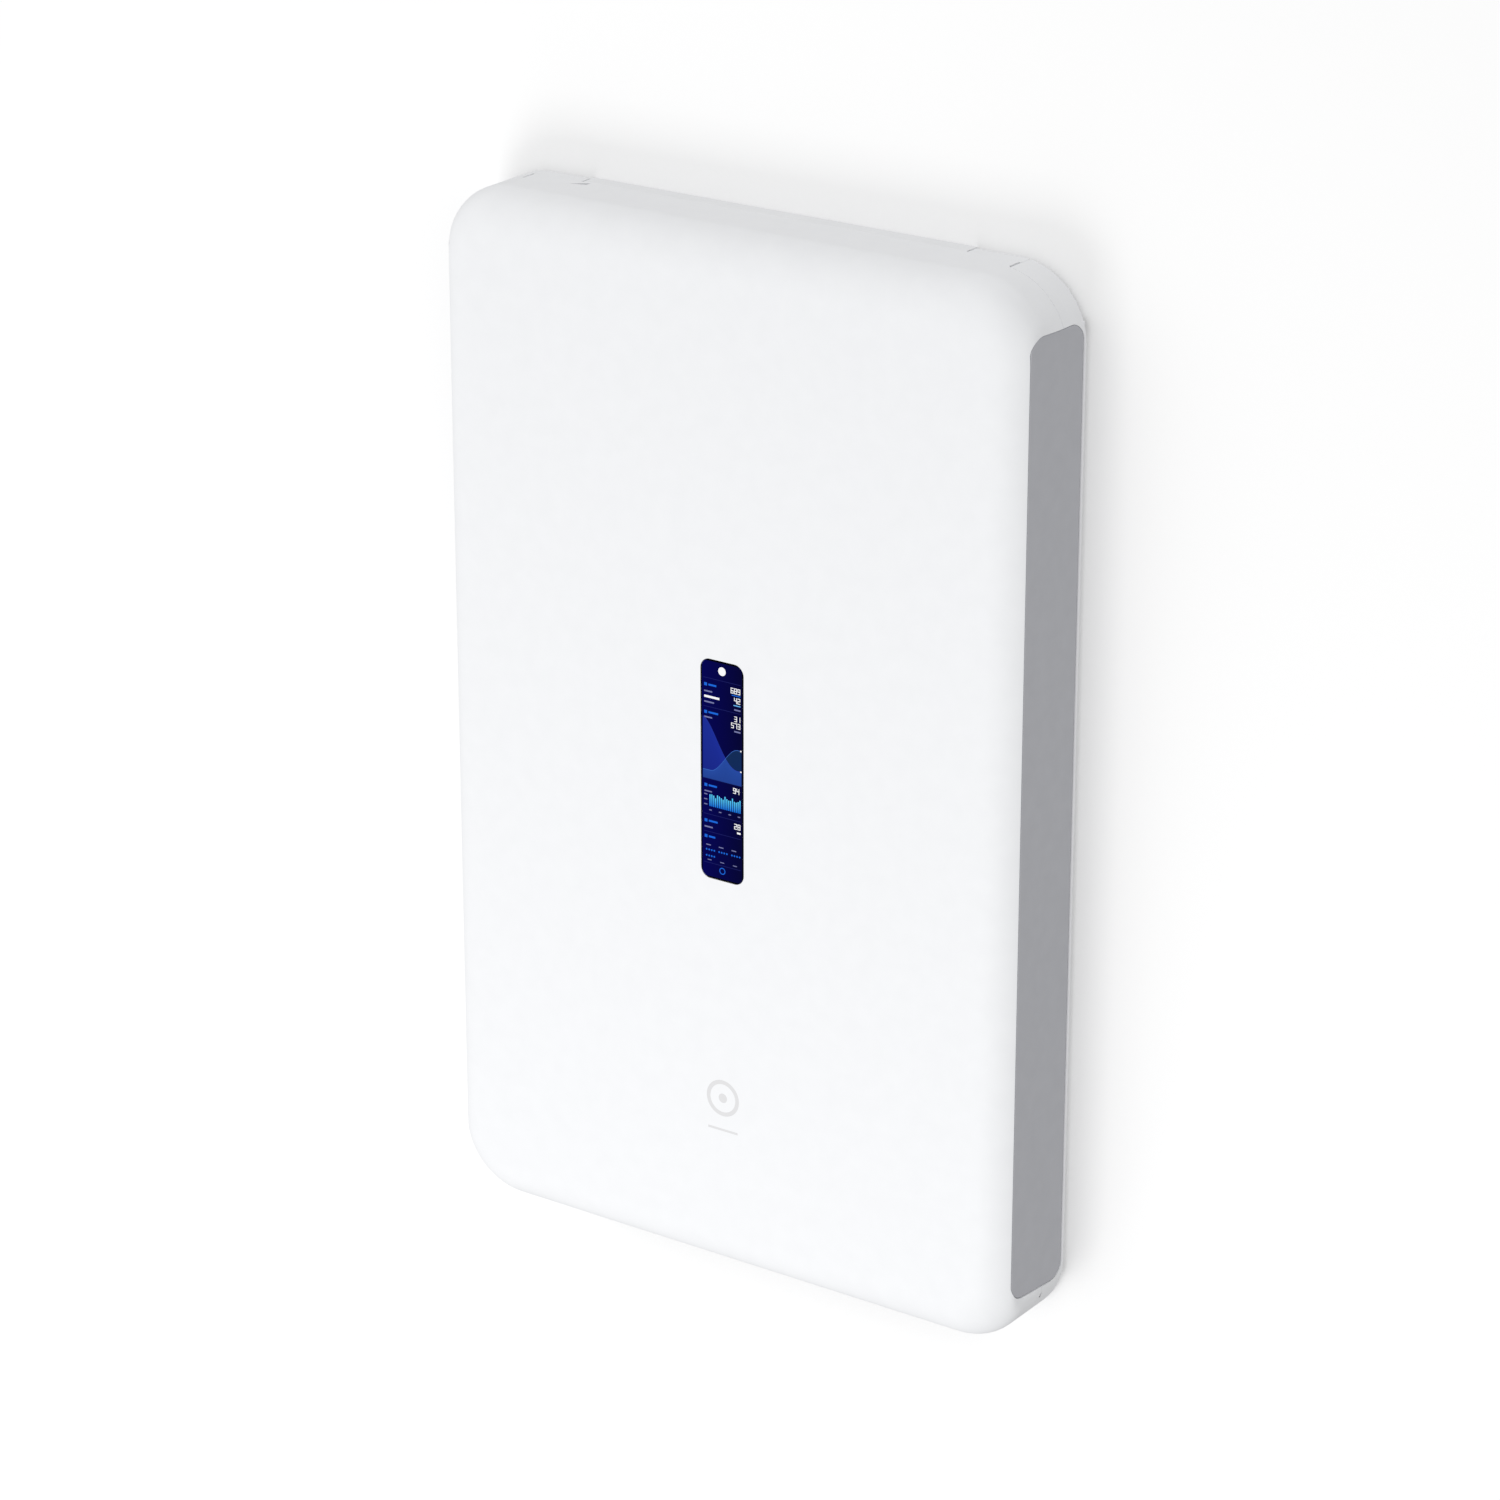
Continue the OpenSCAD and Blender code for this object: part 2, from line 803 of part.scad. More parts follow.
module storage_card() {
  y_card = y_board_face - card_lift;
  color(board_green)
    box([card_x, y_card - card_t, card_low_z], [card_x + card_w, y_card, card_low_z + card_l]);
  color(dark)
    for (step = card_chip_steps) {
      z_chip = card_low_z + step - card_chip_w / 2;
      x_chip = card_x + (card_w - card_chip_w) / 2;
      box(
        [x_chip, y_card - card_t - card_chip_t, z_chip],
        [x_chip + card_chip_w, y_card - card_t + eps, z_chip + card_chip_w]
      );
    }
  color(dark)
    box([card_x, y_card, card_low_z], [card_x + card_w, y_board_face, card_low_z + card_socket_l]);
}

cell_x = -96;
cell_z = -20;
cell_r = 10;
cell_t = 3.2;

module coin_cell() {
  color(bare_metal)
    bar_y(cell_x, cell_z, cell_r, y_board_face, y_board_face - cell_t);
}

connector_z = -124;

module ribbon_connector() {
  color(white)
    on_board(0, connector_z, 15, 5, 2.5);
}

// Flat ribbon from the display's foot to its connector on the main board
module display_ribbon() {
  y_start = y_screen_back;
  y_end = y_board_face - 2.5;
  z_start = -screen_h / 2 + 4;
  y_run = y_display_plate + 6;
  color([0.85, 0.85, 0.8])
    translate([-ribbon_w / 2, 0, 0])
      rotate([90, 0, 90])
        linear_extrude(ribbon_w)
          polygon([
            [y_start, z_start],
            [y_start + ribbon_t, z_start],
            [y_start + ribbon_t, z_start - 8],
            [y_run, z_start - 20],
            [y_run, connector_z + 7],
            [y_end - ribbon_t, connector_z + 2],
            [y_end, connector_z + 2],
            [y_end, connector_z - 2],
            [y_end - ribbon_t, connector_z - 2],
            [y_end - 2 * ribbon_t, connector_z + 1],
            [y_run - ribbon_t, connector_z + 6],
            [y_run - ribbon_t, z_start - 20],
            [y_start, z_start - 8],
          ]);
}

// --- ports -------------------------------------------------------------------------------

port_panel_t = 1.2;
port_row_w = port_count * port_pitch;
port_row_x = -bay_w / 2 + 4;
port_body_h = 13.4;
port_body_l = 21.5;
port_hole_w = 11.8;
port_hole_h = 8;
port_hole_l = 17;
port_stand_out = 0.5;
port_mouth_z = bay_top_z - port_stand_out;
uplink_x = 4;
uplink_w = 16;
cage_x = 26;
cage_w = 14.8;
cage_h = 10.2;
cage_l = 46;
cage_pitch = 19;
cage_wall = 0.6;
cage_count = 2;
port_clear = 0.3;
button_x = 70;
button_r = 2;
y_button = y_board_face - 8;
inlet_x = 98;
inlet_body_w = 27.6;
inlet_body_h = 20.4;
inlet_l = 24;
inlet_flange_w = 32;
inlet_flange_h = 24.6;
inlet_flange_t = 2;
inlet_hole_w = 24;
inlet_hole_h = 16.4;
inlet_hole_l = 16;
y_inlet = y_board_face - 2 - inlet_body_h / 2;

// One socket body with its rectangular hole, which faces down
module socket(x0, w, h, l, hole_w, hole_h, hole_l) {
  y_mid = y_board_face - h / 2;
  difference() {
    box([x0, y_board_face - h, port_mouth_z], [x0 + w, y_board_face, port_mouth_z + l]);
    box(
      [x0 + (w - hole_w) / 2, y_mid - hole_h / 2, port_mouth_z - 1],
      [x0 + (w + hole_w) / 2, y_mid + hole_h / 2, port_mouth_z + hole_l]
    );
  }
}

module network_ports() {
  color(bare_metal)
    for (i = [0:port_count - 1])
      socket(port_row_x + i * port_pitch, port_pitch, port_body_h, port_body_l, port_hole_w, port_hole_h, port_hole_l);
}

module uplink_port() {
  color(bare_metal)
    socket(uplink_x, uplink_w, port_body_h, port_body_l, port_hole_w, port_hole_h, port_hole_l);
}

module fibre_cages() {
  color(bare_metal)
    for (i = [0:cage_count - 1])
      socket(
        cage_x + i * cage_pitch, cage_w, cage_h, cage_l,
        cage_w - 2 * cage_wall, cage_h - 2 * cage_wall, cage_l - 1
      );
}

module panel_cut(x0, x1, y0, y1) {
  box([x0 - port_clear, y0 - port_clear, bay_top_z - 1], [x1 + port_clear, y1 + port_clear, bay_top_z + port_panel_t + 1]);
}

module port_panel() {
  color(bare_metal)
    difference() {
      box(
        [-bay_w / 2 + 0.1, bay_front_y + 0.1, bay_top_z],
        [bay_w / 2 - 0.1, y_plate - 0.1, bay_top_z + port_panel_t]
      );
      panel_cut(port_row_x, port_row_x + port_row_w, y_board_face - port_body_h, y_board_face);
      panel_cut(uplink_x, uplink_x + uplink_w, y_board_face - port_body_h, y_board_face);
      for (i = [0:cage_count - 1])
        panel_cut(cage_x + i * cage_pitch, cage_x + i * cage_pitch + cage_w, y_board_face - cage_h, y_board_face);
      panel_cut(
        inlet_x - inlet_body_w / 2, inlet_x + inlet_body_w / 2,
        y_inlet - inlet_body_h / 2, y_inlet + inlet_body_h / 2
      );
      translate([button_x, y_button, bay_top_z - 1])
        cylinder(h = port_panel_t + 2, r = button_r + 0.3, $fn = round_fn);
    }
}

module power_inlet() {
  color(dark)
    difference() {
      union() {
        box(
          [inlet_x - inlet_flange_w / 2, y_inlet - inlet_flange_h / 2, bay_top_z - inlet_flange_t],
          [inlet_x + inlet_flange_w / 2, y_inlet + inlet_flange_h / 2, bay_top_z]
        );
        box(
          [inlet_x - inlet_body_w / 2, y_inlet - inlet_body_h / 2, bay_top_z - eps],
          [inlet_x + inlet_body_w / 2, y_inlet + inlet_body_h / 2, bay_top_z + inlet_l]
        );
      }
      box(
        [inlet_x - inlet_hole_w / 2, y_inlet - inlet_hole_h / 2, bay_top_z - inlet_flange_t - 1],
        [inlet_x + inlet_hole_w / 2, y_inlet + inlet_hole_h / 2, bay_top_z - inlet_flange_t + inlet_hole_l]
      );
    }
}

pin_pitch = 7;
pin_l = 10;

module inlet_pins() {
  z_root = bay_top_z - inlet_flange_t + inlet_hole_l;
  color(gold)
    for (i = [-1:1]) {
      y_pin = y_inlet + (i == 0 ? 2 : -2);
      box([inlet_x + i * pin_pitch - 1, y_pin - 2, z_root - pin_l], [inlet_x + i * pin_pitch + 1, y_pin + 2, z_root]);
    }
}

button_travel = 0.6;
button_stand_out = 1.6;
button_l = 7;

module reset_button() {
  z_low = bay_top_z - button_stand_out;
  color(dark)
    translate([button_x, y_button, z_low]) {
      cylinder(h = button_l, r = button_r, $fn = round_fn);
      translate([0, 0, button_stand_out + port_panel_t + button_travel])
        cylinder(h = 1.2, r = button_r + 1, $fn = round_fn);
    }
}

module reset_switch() {
  z_low = bay_top_z - button_stand_out + button_l + button_travel + 0.1;
  color(bare_metal)
    box([button_x - 3.2, y_button - 3.2, z_low], [button_x + 3.2, y_board_face, z_low + 5]);
}

module port_transformers() {
  z_mid = port_mouth_z + port_body_l + 12;
  color(dark)
    for (i = [0:port_count - 1])
      on_board(port_row_x + (i + 0.5) * port_pitch, z_mid, 10.5, 15, 6);
}

// --- power supply ------------------------------------------------------------------------

supply_mid_z = (supply_low_z + supply_top_z) / 2;
transformer_x = 12;
transformer_size = [40, 36, 26];

module supply_transformer() {
  color([0.75, 0.62, 0.2])
    on_board(transformer_x, supply_mid_z, transformer_size[0], transformer_size[1], transformer_size[2]);
}

cap_r = 8.5;
cap_l = 32;
cap_x = 58;
cap_pitch = 24;
cap_lift = 0.5;

module supply_capacitors() {
  color(dark)
    for (i = [-1:1])
      translate([cap_x, y_board_face - cap_r - cap_lift, supply_mid_z - 2 + i * cap_pitch])
        rotate([0, 90, 0])
          cylinder(h = cap_l, r = cap_r, $fn = round_fn);
}

sink_places = [-28, -52];
sink_t = 3;
sink_d = 24;
sink_l = 66;
sink_fin_l = 5.5;
sink_fin_t = 2;
sink_fin_lift = 10;
sink_fin_pitch = 12;

module supply_heatsinks() {
  z_low = supply_mid_z - sink_l / 2 + 1;
  color(bare_metal)
    for (x = sink_places) {
      box([x - sink_t / 2, y_board_face - sink_d, z_low], [x + sink_t / 2, y_board_face, z_low + sink_l]);
      for (i = [0:5]) {
        z_fin = z_low + sink_fin_t + i * sink_fin_pitch;
        box(
          [x - sink_t / 2 - sink_fin_l, y_board_face - sink_d, z_fin],
          [x - sink_t / 2 + eps, y_board_face - sink_fin_lift, z_fin + sink_fin_t]
        );
      }
    }
}

choke_x = -78;
choke_places = [supply_mid_z - 22, supply_mid_z + 16];
choke_ring_r = 8;
choke_wire_r = 4.5;

module supply_chokes() {
  color([0.7, 0.4, 0.15])
    for (z = choke_places)
      translate([choke_x, y_board_face - choke_wire_r - cap_lift, z])
        rotate([90, 0, 0])
          rotate_extrude($fn = round_fn)
            translate([choke_ring_r, 0])
              circle(r = choke_wire_r, $fn = 24);
}

lead_gap = 0.7;
mains_lead_d = 6;
mains_lead_x = inlet_x + 13;
mains_lead_y = y_inlet - 2;
mains_end_x = 80;
mains_end_z = supply_low_z + 5;

module mains_lead() {
  z_inlet = bay_top_z + inlet_l + lead_gap;
  color(dark)
    lead([
      [inlet_x, y_inlet, z_inlet],
      [inlet_x, y_inlet, z_inlet + 12],
      [inlet_x + 10, mains_lead_y, z_inlet + 30],
      [mains_lead_x, mains_lead_y, z_inlet + 68],
      [mains_lead_x, mains_lead_y, board_mid_z],
      [mains_lead_x - 1, mains_lead_y, supply_low_z - 32],
      [inlet_x, mains_lead_y, supply_low_z - 9],
      [mains_end_x + 2, y_inlet, mains_end_z - 3],
      [mains_end_x, y_inlet + 6, mains_end_z],
      [mains_end_x, y_board_face - lead_gap, mains_end_z],
    ], mains_lead_d);
}

supply_lead_x = -60;
supply_lead_d = 5;
supply_lead_rise = 12;

module supply_lead() {
  x = supply_lead_x;
  y_end = y_board_face - lead_gap;
  z_high = supply_low_z + 6;
  z_low = board_top_z - 12;
  color([0.6, 0.1, 0.1])
    lead([
      [x, y_end, z_high],
      [x, y_end - supply_lead_rise / 2, z_high],
      [x, y_end - supply_lead_rise, z_high - 12],
      [x, y_end - supply_lead_rise, z_low + 12],
      [x, y_end - supply_lead_rise / 2, z_low],
      [x, y_end, z_low],
    ], supply_lead_d);
}

// --- radio and antennas ------------------------------------------------------------------

shield_x = 26;
shield_size = [36, 34, 3.5];

module radio_shields() {
  color(bare_metal)
    for (x = [-shield_x, shield_x])
      on_board(x, (radio_low_z + radio_top_z) / 2, shield_size[0], shield_size[1], shield_size[2]);
}

antenna_w = 44;
antenna_h = 14;
antenna_t = 1.2;
antenna_fin_d = 12;
antenna_x = half_w - 51;
antenna_low_z = half_h - 78;
antenna_high_z = half_h - 33;
antenna_places = [
  [-antenna_x, antenna_low_z],
  [antenna_x, antenna_low_z],
  [-antenna_x, antenna_high_z],
  [antenna_x, antenna_high_z],
];

// A flat antenna on the cover's inner face, with a fin that stands back from it
module antenna(i) {
  place = antenna_places[i];
  y_foot = y_inner;
  color(gold) {
    box(
      [place[0] - antenna_w / 2, y_foot, place[1] - antenna_h / 2],
      [place[0] + antenna_w / 2, y_foot + antenna_t, place[1] + antenna_h / 2]
    );
    box(
      [place[0] - antenna_w / 2, y_foot + antenna_t - eps, place[1] - antenna_t / 2],
      [place[0] + antenna_w / 2, y_foot + antenna_fin_d, place[1] + antenna_t / 2]
    );
  }
}

antenna_lead_d = 1.4;
antenna_foot_z = 4;
radio_port_x = radio_w / 2 - 8;
radio_port_z = radio_top_z - 22;
radio_port_pitch = 9;

// Each lead leaves its antenna's foot on the side of the fin that faces the radio board
module antenna_leads() {
  color(dark)
    for (i = [0:3]) {
      place = antenna_places[i];
      side = sign(place[0]);
      z_port = radio_port_z + radio_port_pitch * floor(i / 2);
      x_port = side * radio_port_x;
      x_foot = place[0] - side * (antenna_w / 2 - 4);
      z_foot = place[1] + antenna_foot_z * sign(z_port - place[1]);
      y_foot = y_inner + antenna_t + lead_gap / 2;
      lead([
        [x_foot, y_foot, z_foot],
        [x_foot, y_foot + 5, z_foot],
        [x_foot - side * 5, y_foot + 14, (z_foot + z_port) / 2],
        [(x_foot + x_port) / 2, y_board_face - 9, (z_foot + z_port) / 2],
        [x_port, y_board_face - 6, z_port],
        [x_port, y_board_face - lead_gap / 2, z_port],
      ], antenna_lead_d, [0, 0, 1]);
    }
}

// --- fans --------------------------------------------------------------------------------

fan_x = bay_w / 2 + 4 + fan_t / 2;
fan_y = (y_plate + y_inner) / 2;
fan_bore_r = fan_size / 2 - 1;
fan_tip_gap = 0.6;
hub_r = fan_size * 0.23;
shaft_r = 1.5;
shaft_gap = 0.05;
spider_t = 3;
strut_t = 2;
blade_t = 1.1;
blade_pitch = 38;
fan_hole_r = 1.6;
fan_hole_place = fan_size / 2 - 3;

function fan_centre(i) = [i < 2 ? -fan_x : fan_x, fan_y, i % 2 == 0 ? fan_low_z : fan_high_z];

// Turns a fan drawn along +Z so that its air leaves through the side panel
module place_fan(i) {
  translate(fan_centre(i))
    rotate([0, i < 2 ? -90 : 90, 0])
      children();
}

// The air passage of a fan: its bore, less the motor's seat and the struts that carry it
module fan_passage() {
  difference() {
    translate([0, 0, -fan_t / 2 - 1])
      cylinder(h = fan_t + 2, r = fan_bore_r, $fn = round_fn);
    translate([0, 0, -fan_t / 2 - 2])
      cylinder(h = spider_t + 2, r = hub_r, $fn = round_fn);
    for (turn = [0, 90])
      rotate([0, 0, turn])
        translate([-fan_size, -strut_t / 2, -fan_t / 2 - 2])
          cube([2 * fan_size, strut_t, spider_t + 1]);
  }
}

module fan_frame(i) {
  color(dark)
    place_fan(i)
      difference() {
        translate([-fan_size / 2, -fan_size / 2, -fan_t / 2])
          cube([fan_size, fan_size, fan_t]);
        fan_passage();
        translate([0, 0, -fan_t / 2 - 1])
          cylinder(h = spider_t + 2, r = shaft_r + shaft_gap, $fn = round_fn);
        for (x = [-fan_hole_place, fan_hole_place], y = [-fan_hole_place, fan_hole_place])
          translate([x, y, -fan_t / 2 - 1])
            cylinder(h = fan_t + 2, r = fan_hole_r, $fn = round_fn);
      }
}

module fan_rotor(i) {
  hub_low = -fan_t / 2 + spider_t + 0.4;
  hub_top = fan_t / 2 - 0.6;
  blade_r = fan_bore_r - fan_tip_gap;
  blade_h = hub_top - hub_low - 2;
  color([0.2, 0.2, 0.22])
    place_fan(i) {
      translate([0, 0, hub_low])
        cylinder(h = hub_top - hub_low, r = hub_r, $fn = round_fn);
      translate([0, 0, -fan_t / 2 + 0.3])
        cylinder(h = hub_low + fan_t / 2, r = shaft_r, $fn = round_fn);
      intersection() {
        translate([0, 0, hub_low + 1])
          cylinder(h = blade_h, r = blade_r, $fn = round_fn);
        for (k = [0:fan_blades - 1])
          rotate([0, 0, 360 * k / fan_blades])
            translate([hub_r - 1, 0, (hub_low + hub_top) / 2])
              rotate([blade_pitch, 0, 0])
                translate([0, -blade_h * 0.8, -blade_t / 2])
                  cube([blade_r, blade_h * 1.6, blade_t]);
      }
    }
}

// --- assembly ----------------------------------------------------------------------------

wall_bracket();
bracket_pads();
front_cover();
rear_housing();
housing_screws();
hanger_plates();
wall_bumpers();
side_frame(false);  // side_frame_left
side_frame(true);  // side_frame_right
side_frame_screws();
side_panel(false);  // side_panel_left
side_panel(true);  // side_panel_right
dust_filter(false);  // dust_filter_left
dust_filter(true);  // dust_filter_right
display_glass();
display_gasket();
display_panel();
display_bracket();
display_screws();
display_ribbon();
port_panel();
network_ports();
uplink_port();
fibre_cages();
power_inlet();
inlet_pins();
reset_button();
reset_switch();
main_board();
board_standoffs();
board_screws();
main_chips();
processor_heatsink();
switch_heatsink();
port_transformers();
storage_card();
coin_cell();
ribbon_connector();
supply_board();
supply_transformer();
supply_capacitors();
supply_heatsinks();
supply_chokes();
mains_lead();
supply_lead();
radio_board();
radio_shields();
antenna(0);  // antenna_1
antenna(1);  // antenna_2
antenna(2);  // antenna_3
antenna(3);  // antenna_4
antenna_leads();
fan_frame(0);  // fan_frame_1
fan_frame(1);  // fan_frame_2
fan_frame(2);  // fan_frame_3
fan_frame(3);  // fan_frame_4
fan_rotor(0);  // fan_rotor_1
fan_rotor(1);  // fan_rotor_2
fan_rotor(2);  // fan_rotor_3
fan_rotor(3);  // fan_rotor_4
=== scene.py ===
"""Looks for the wall network console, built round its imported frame.

Lengths are in metres in the frame's own axes: X runs right, Y into the wall and Z up.
"""

import functools
import logging
import math
from collections.abc import Sequence
from dataclasses import dataclass, field
from enum import Enum

import bpy
import numpy as np
from mathutils import Matrix, Vector


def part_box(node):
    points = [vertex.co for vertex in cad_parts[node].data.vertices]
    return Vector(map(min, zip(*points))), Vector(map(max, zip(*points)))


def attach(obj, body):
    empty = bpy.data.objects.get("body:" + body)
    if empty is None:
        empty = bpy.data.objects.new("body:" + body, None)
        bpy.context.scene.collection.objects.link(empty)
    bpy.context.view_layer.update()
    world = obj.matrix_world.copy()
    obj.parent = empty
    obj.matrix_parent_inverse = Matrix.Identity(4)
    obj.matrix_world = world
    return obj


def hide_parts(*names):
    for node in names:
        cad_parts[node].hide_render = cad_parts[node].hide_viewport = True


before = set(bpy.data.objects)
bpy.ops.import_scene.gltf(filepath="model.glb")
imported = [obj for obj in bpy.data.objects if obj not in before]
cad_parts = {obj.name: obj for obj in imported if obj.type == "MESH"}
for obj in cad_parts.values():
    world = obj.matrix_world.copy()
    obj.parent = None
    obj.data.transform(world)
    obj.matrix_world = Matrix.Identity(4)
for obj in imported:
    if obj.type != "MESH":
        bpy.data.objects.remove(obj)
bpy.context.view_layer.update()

MM = 0.001
Array = np.ndarray
Colour = tuple[float, float, float]
Places = tuple[tuple[float, float], ...]
Tree = bpy.types.NodeTree
Node = bpy.types.Node
Socket = bpy.types.NodeSocket
MIX_COLOURS = (6, 7)  # the numbers of a Mix node's two colour inputs
MIX_RESULT = 2  # and of its colour output
EDGE_ANGLE = 35.0  # edges bent by more degrees than this stay sharp
LUG_HEIGHTS = (-0.19, -0.07, 0.07, 0.19)
log = logging.getLogger("console")


# --- finishes ----------------------------------------------------------------------------


def linear(red: int, green: int, blue: int) -> Colour:
    """Turns a screen colour into the linear colour that shaders use.

    Args:
        red: Red, from 0 to 255.
        green: Green, from 0 to 255.
        blue: Blue, from 0 to 255.

    Returns:
        The linear colour.
    """
    share = np.array([red, green, blue]) / 255.0
    straight = np.where(share <= 0.04045, share / 12.92, ((share + 0.055) / 1.055) ** 2.4)
    return tuple(float(value) for value in straight)


class Pattern(Enum):
    """The surface patterns that a finish can have; each is one shader node group."""

    GRAIN = "grain"
    BRUSH = "brush"
    WEAVE = "weave"
    TRACKS = "tracks"
    WOUND = "wound"


def add_node(tree: Tree, kind: str, place: tuple[float, float], **settings: object) -> Node:
    """Adds a node to a tree.

    Args:
        tree: The tree that gets the node.
        kind: Blender's name for the node's type.
        place: Where the node stands in the editor.
        **settings: Attributes to set on the node.

    Returns:
        The new node.
    """
    node = tree.nodes.new(kind)
    node.location = place
    for name, value in settings.items():
        setattr(node, name, value)
    return node


def math_node(tree: Tree, operation: str, first: Socket, second: float | Socket = 0.0) -> Socket:
    """Adds a Math node.

    Args:
        tree: The tree that gets the node.
        operation: Blender's name for the sum.
        first: The first value's socket.
        second: The second value, or its socket.

    Returns:
        The result's socket.
    """
    node = add_node(tree, "ShaderNodeMath", (-700, 500), operation=operation)
    tree.links.new(first, node.inputs[0])
    if isinstance(second, (int, float)):
        node.inputs[1].default_value = second
    else:
        tree.links.new(second, node.inputs[1])
    return node.outputs[0]


def mix_node(tree: Tree, share: Socket, first: Colour | Socket, second: Colour | Socket) -> Socket:
    """Adds a Mix node for two colours.

    Args:
        tree: The tree that gets the node.
        share: How much of the second colour there is.
        first: The first colour, or its socket.
        second: The second colour, or its socket.

    Returns:
        The mixed colour's socket.
    """
    node = add_node(tree, "ShaderNodeMix", (-300, 100), data_type="RGBA")
    tree.links.new(share, node.inputs[0])
    for number, colour in zip(MIX_COLOURS, (first, second)):
        if isinstance(colour, tuple):
            node.inputs[number].default_value = (*colour, 1)
        else:
            tree.links.new(colour, node.inputs[number])
    return node.outputs[MIX_RESULT]


class PatternGroup:
    """One shader node group that turns a place on a surface into a tone and a height."""

    def __init__(self, pattern: Pattern) -> None:
        """Builds the group's sockets and its nodes.

        Args:
            pattern: Which pattern the group makes.
        """
        self.tree = bpy.data.node_groups.new(f"{pattern.value}_pattern", "ShaderNodeTree")
        face = self.tree.interface
        face.new_socket("Vector", in_out="INPUT", socket_type="NodeSocketVector")
        face.new_socket("Scale", in_out="INPUT", socket_type="NodeSocketFloat")
        face.new_socket("Tone", in_out="OUTPUT", socket_type="NodeSocketFloat")
        face.new_socket("Height", in_out="OUTPUT", socket_type="NodeSocketFloat")
        self.start = add_node(self.tree, "NodeGroupInput", (-900, 0))
        self.end = add_node(self.tree, "NodeGroupOutput", (500, 0))
        getattr(self, f"_{pattern.value}")()

    def _link(self, source: Socket, target: Socket) -> None:
        """Joins two sockets of the group."""
        self.tree.links.new(source, target)

    def _math(self, operation: str, first: Socket, second: float | Socket) -> Socket:
        """Adds a Math node to the group; the arguments are those of math_node."""
        return math_node(self.tree, operation, first, second)

    def _noise(
        self, times: float, stretch: tuple[float, float, float] = (1, 1, 1), detail: float = 3
    ) -> Socket:
        """Adds a noise whose scale is times the group's scale.

        Args:
            times: How many times finer than the group's scale the noise is.
            stretch: How the place is squeezed along each axis first.
            detail: The noise's detail.

        Returns:
            The noise's value socket.
        """
        squeeze = add_node(self.tree, "ShaderNodeVectorMath", (-600, 0), operation="MULTIPLY")
        squeeze.inputs[1].default_value = stretch
        noise = add_node(self.tree, "ShaderNodeTexNoise", (-300, 0))
        noise.inputs["Detail"].default_value = detail
        self._link(self.start.outputs["Vector"], squeeze.inputs[0])
        self._link(squeeze.outputs[0], noise.inputs["Vector"])
        self._link(
            self._math("MULTIPLY", self.start.outputs["Scale"], times), noise.inputs["Scale"]
        )
        return noise.outputs["Fac"]

    def _wave(self, axis: str, times: float) -> Socket:
        """Adds straight bands across one axis, times the group's scale.

        Args:
            axis: "X", "Y" or "Z".
            times: How many times finer than the group's scale the bands are.

        Returns:
            The bands' value socket.
        """
        wave = add_node(self.tree, "ShaderNodeTexWave", (-300, 0), bands_direction=axis)
        self._link(self.start.outputs["Vector"], wave.inputs["Vector"])
        self._link(self._math("MULTIPLY", self.start.outputs["Scale"], times), wave.inputs["Scale"])
        return wave.outputs["Fac"]

    def _finish(self, tone: Socket, height: Socket) -> None:
        """Joins the results to the group's outputs."""
        self._link(tone, self.end.inputs["Tone"])
        self._link(height, self.end.inputs["Height"])

    def _grain(self) -> None:
        """Moulded or sprayed grain: a broad noise for the tone, a fine one for the height."""
        self._finish(self._noise(0.03, detail=2), self._noise(1.0))

    def _brush(self) -> None:
        """Drawn metal: a noise stretched 25 times along Z, over a broad noise."""
        streaks = self._noise(1.0, (1, 1, 0.04))
        broad = self._math("MULTIPLY", self._noise(0.05), 0.4)
        self._finish(self._math("ADD", self._math("MULTIPLY", streaks, 0.6), broad), streaks)

    def _weave(self) -> None:
        """Woven wires: the higher of two sets of crossed bands."""
        both = self._math("MAXIMUM", self._wave("Y", 1.0), self._wave("Z", 1.0))
        self._finish(both, both)

    def _tracks(self) -> None:
        """Copper tracks: borders of cells, and straight lines that run across or along."""
        cells = add_node(self.tree, "ShaderNodeTexVoronoi", (-300, 200), feature="DISTANCE_TO_EDGE")
        self._link(self.start.outputs["Vector"], cells.inputs["Vector"])
        self._link(self.start.outputs["Scale"], cells.inputs["Scale"])
        border = self._math("LESS_THAN", cells.outputs["Distance"], 0.07)
        across = self._math("GREATER_THAN", self._wave("X", 1.6), 0.78)
        along = self._math("GREATER_THAN", self._wave("Z", 1.1), 0.8)
        spot = self._noise(0.12, detail=1)
        crosswise = self._math("MULTIPLY", across, self._math("GREATER_THAN", spot, 0.52))
        lengthwise = self._math("MULTIPLY", along, self._math("LESS_THAN", spot, 0.52))
        tracks = self._math("MAXIMUM", border, self._math("ADD", crosswise, lengthwise))
        self._finish(tracks, tracks)

    def _wound(self) -> None:
        """Wire wound side by side: bands across Z with a light noise on them."""
        bands = self._wave("Z", 1.0)
        self._finish(self._math("MULTIPLY", bands, self._noise(0.3)), bands)


class PatternShop:
    """Keeps the pattern groups, so that each is built once."""

    made: dict[Pattern, Tree] = {}

    @classmethod
    def get(cls, pattern: Pattern) -> Tree:
        """Returns the pattern's group, and builds it the first time.

        Args:
            pattern: Which pattern.

        Returns:
            The group's node tree.
        """
        if pattern not in cls.made:
            cls.made[pattern] = PatternGroup(pattern).tree
        return cls.made[pattern]


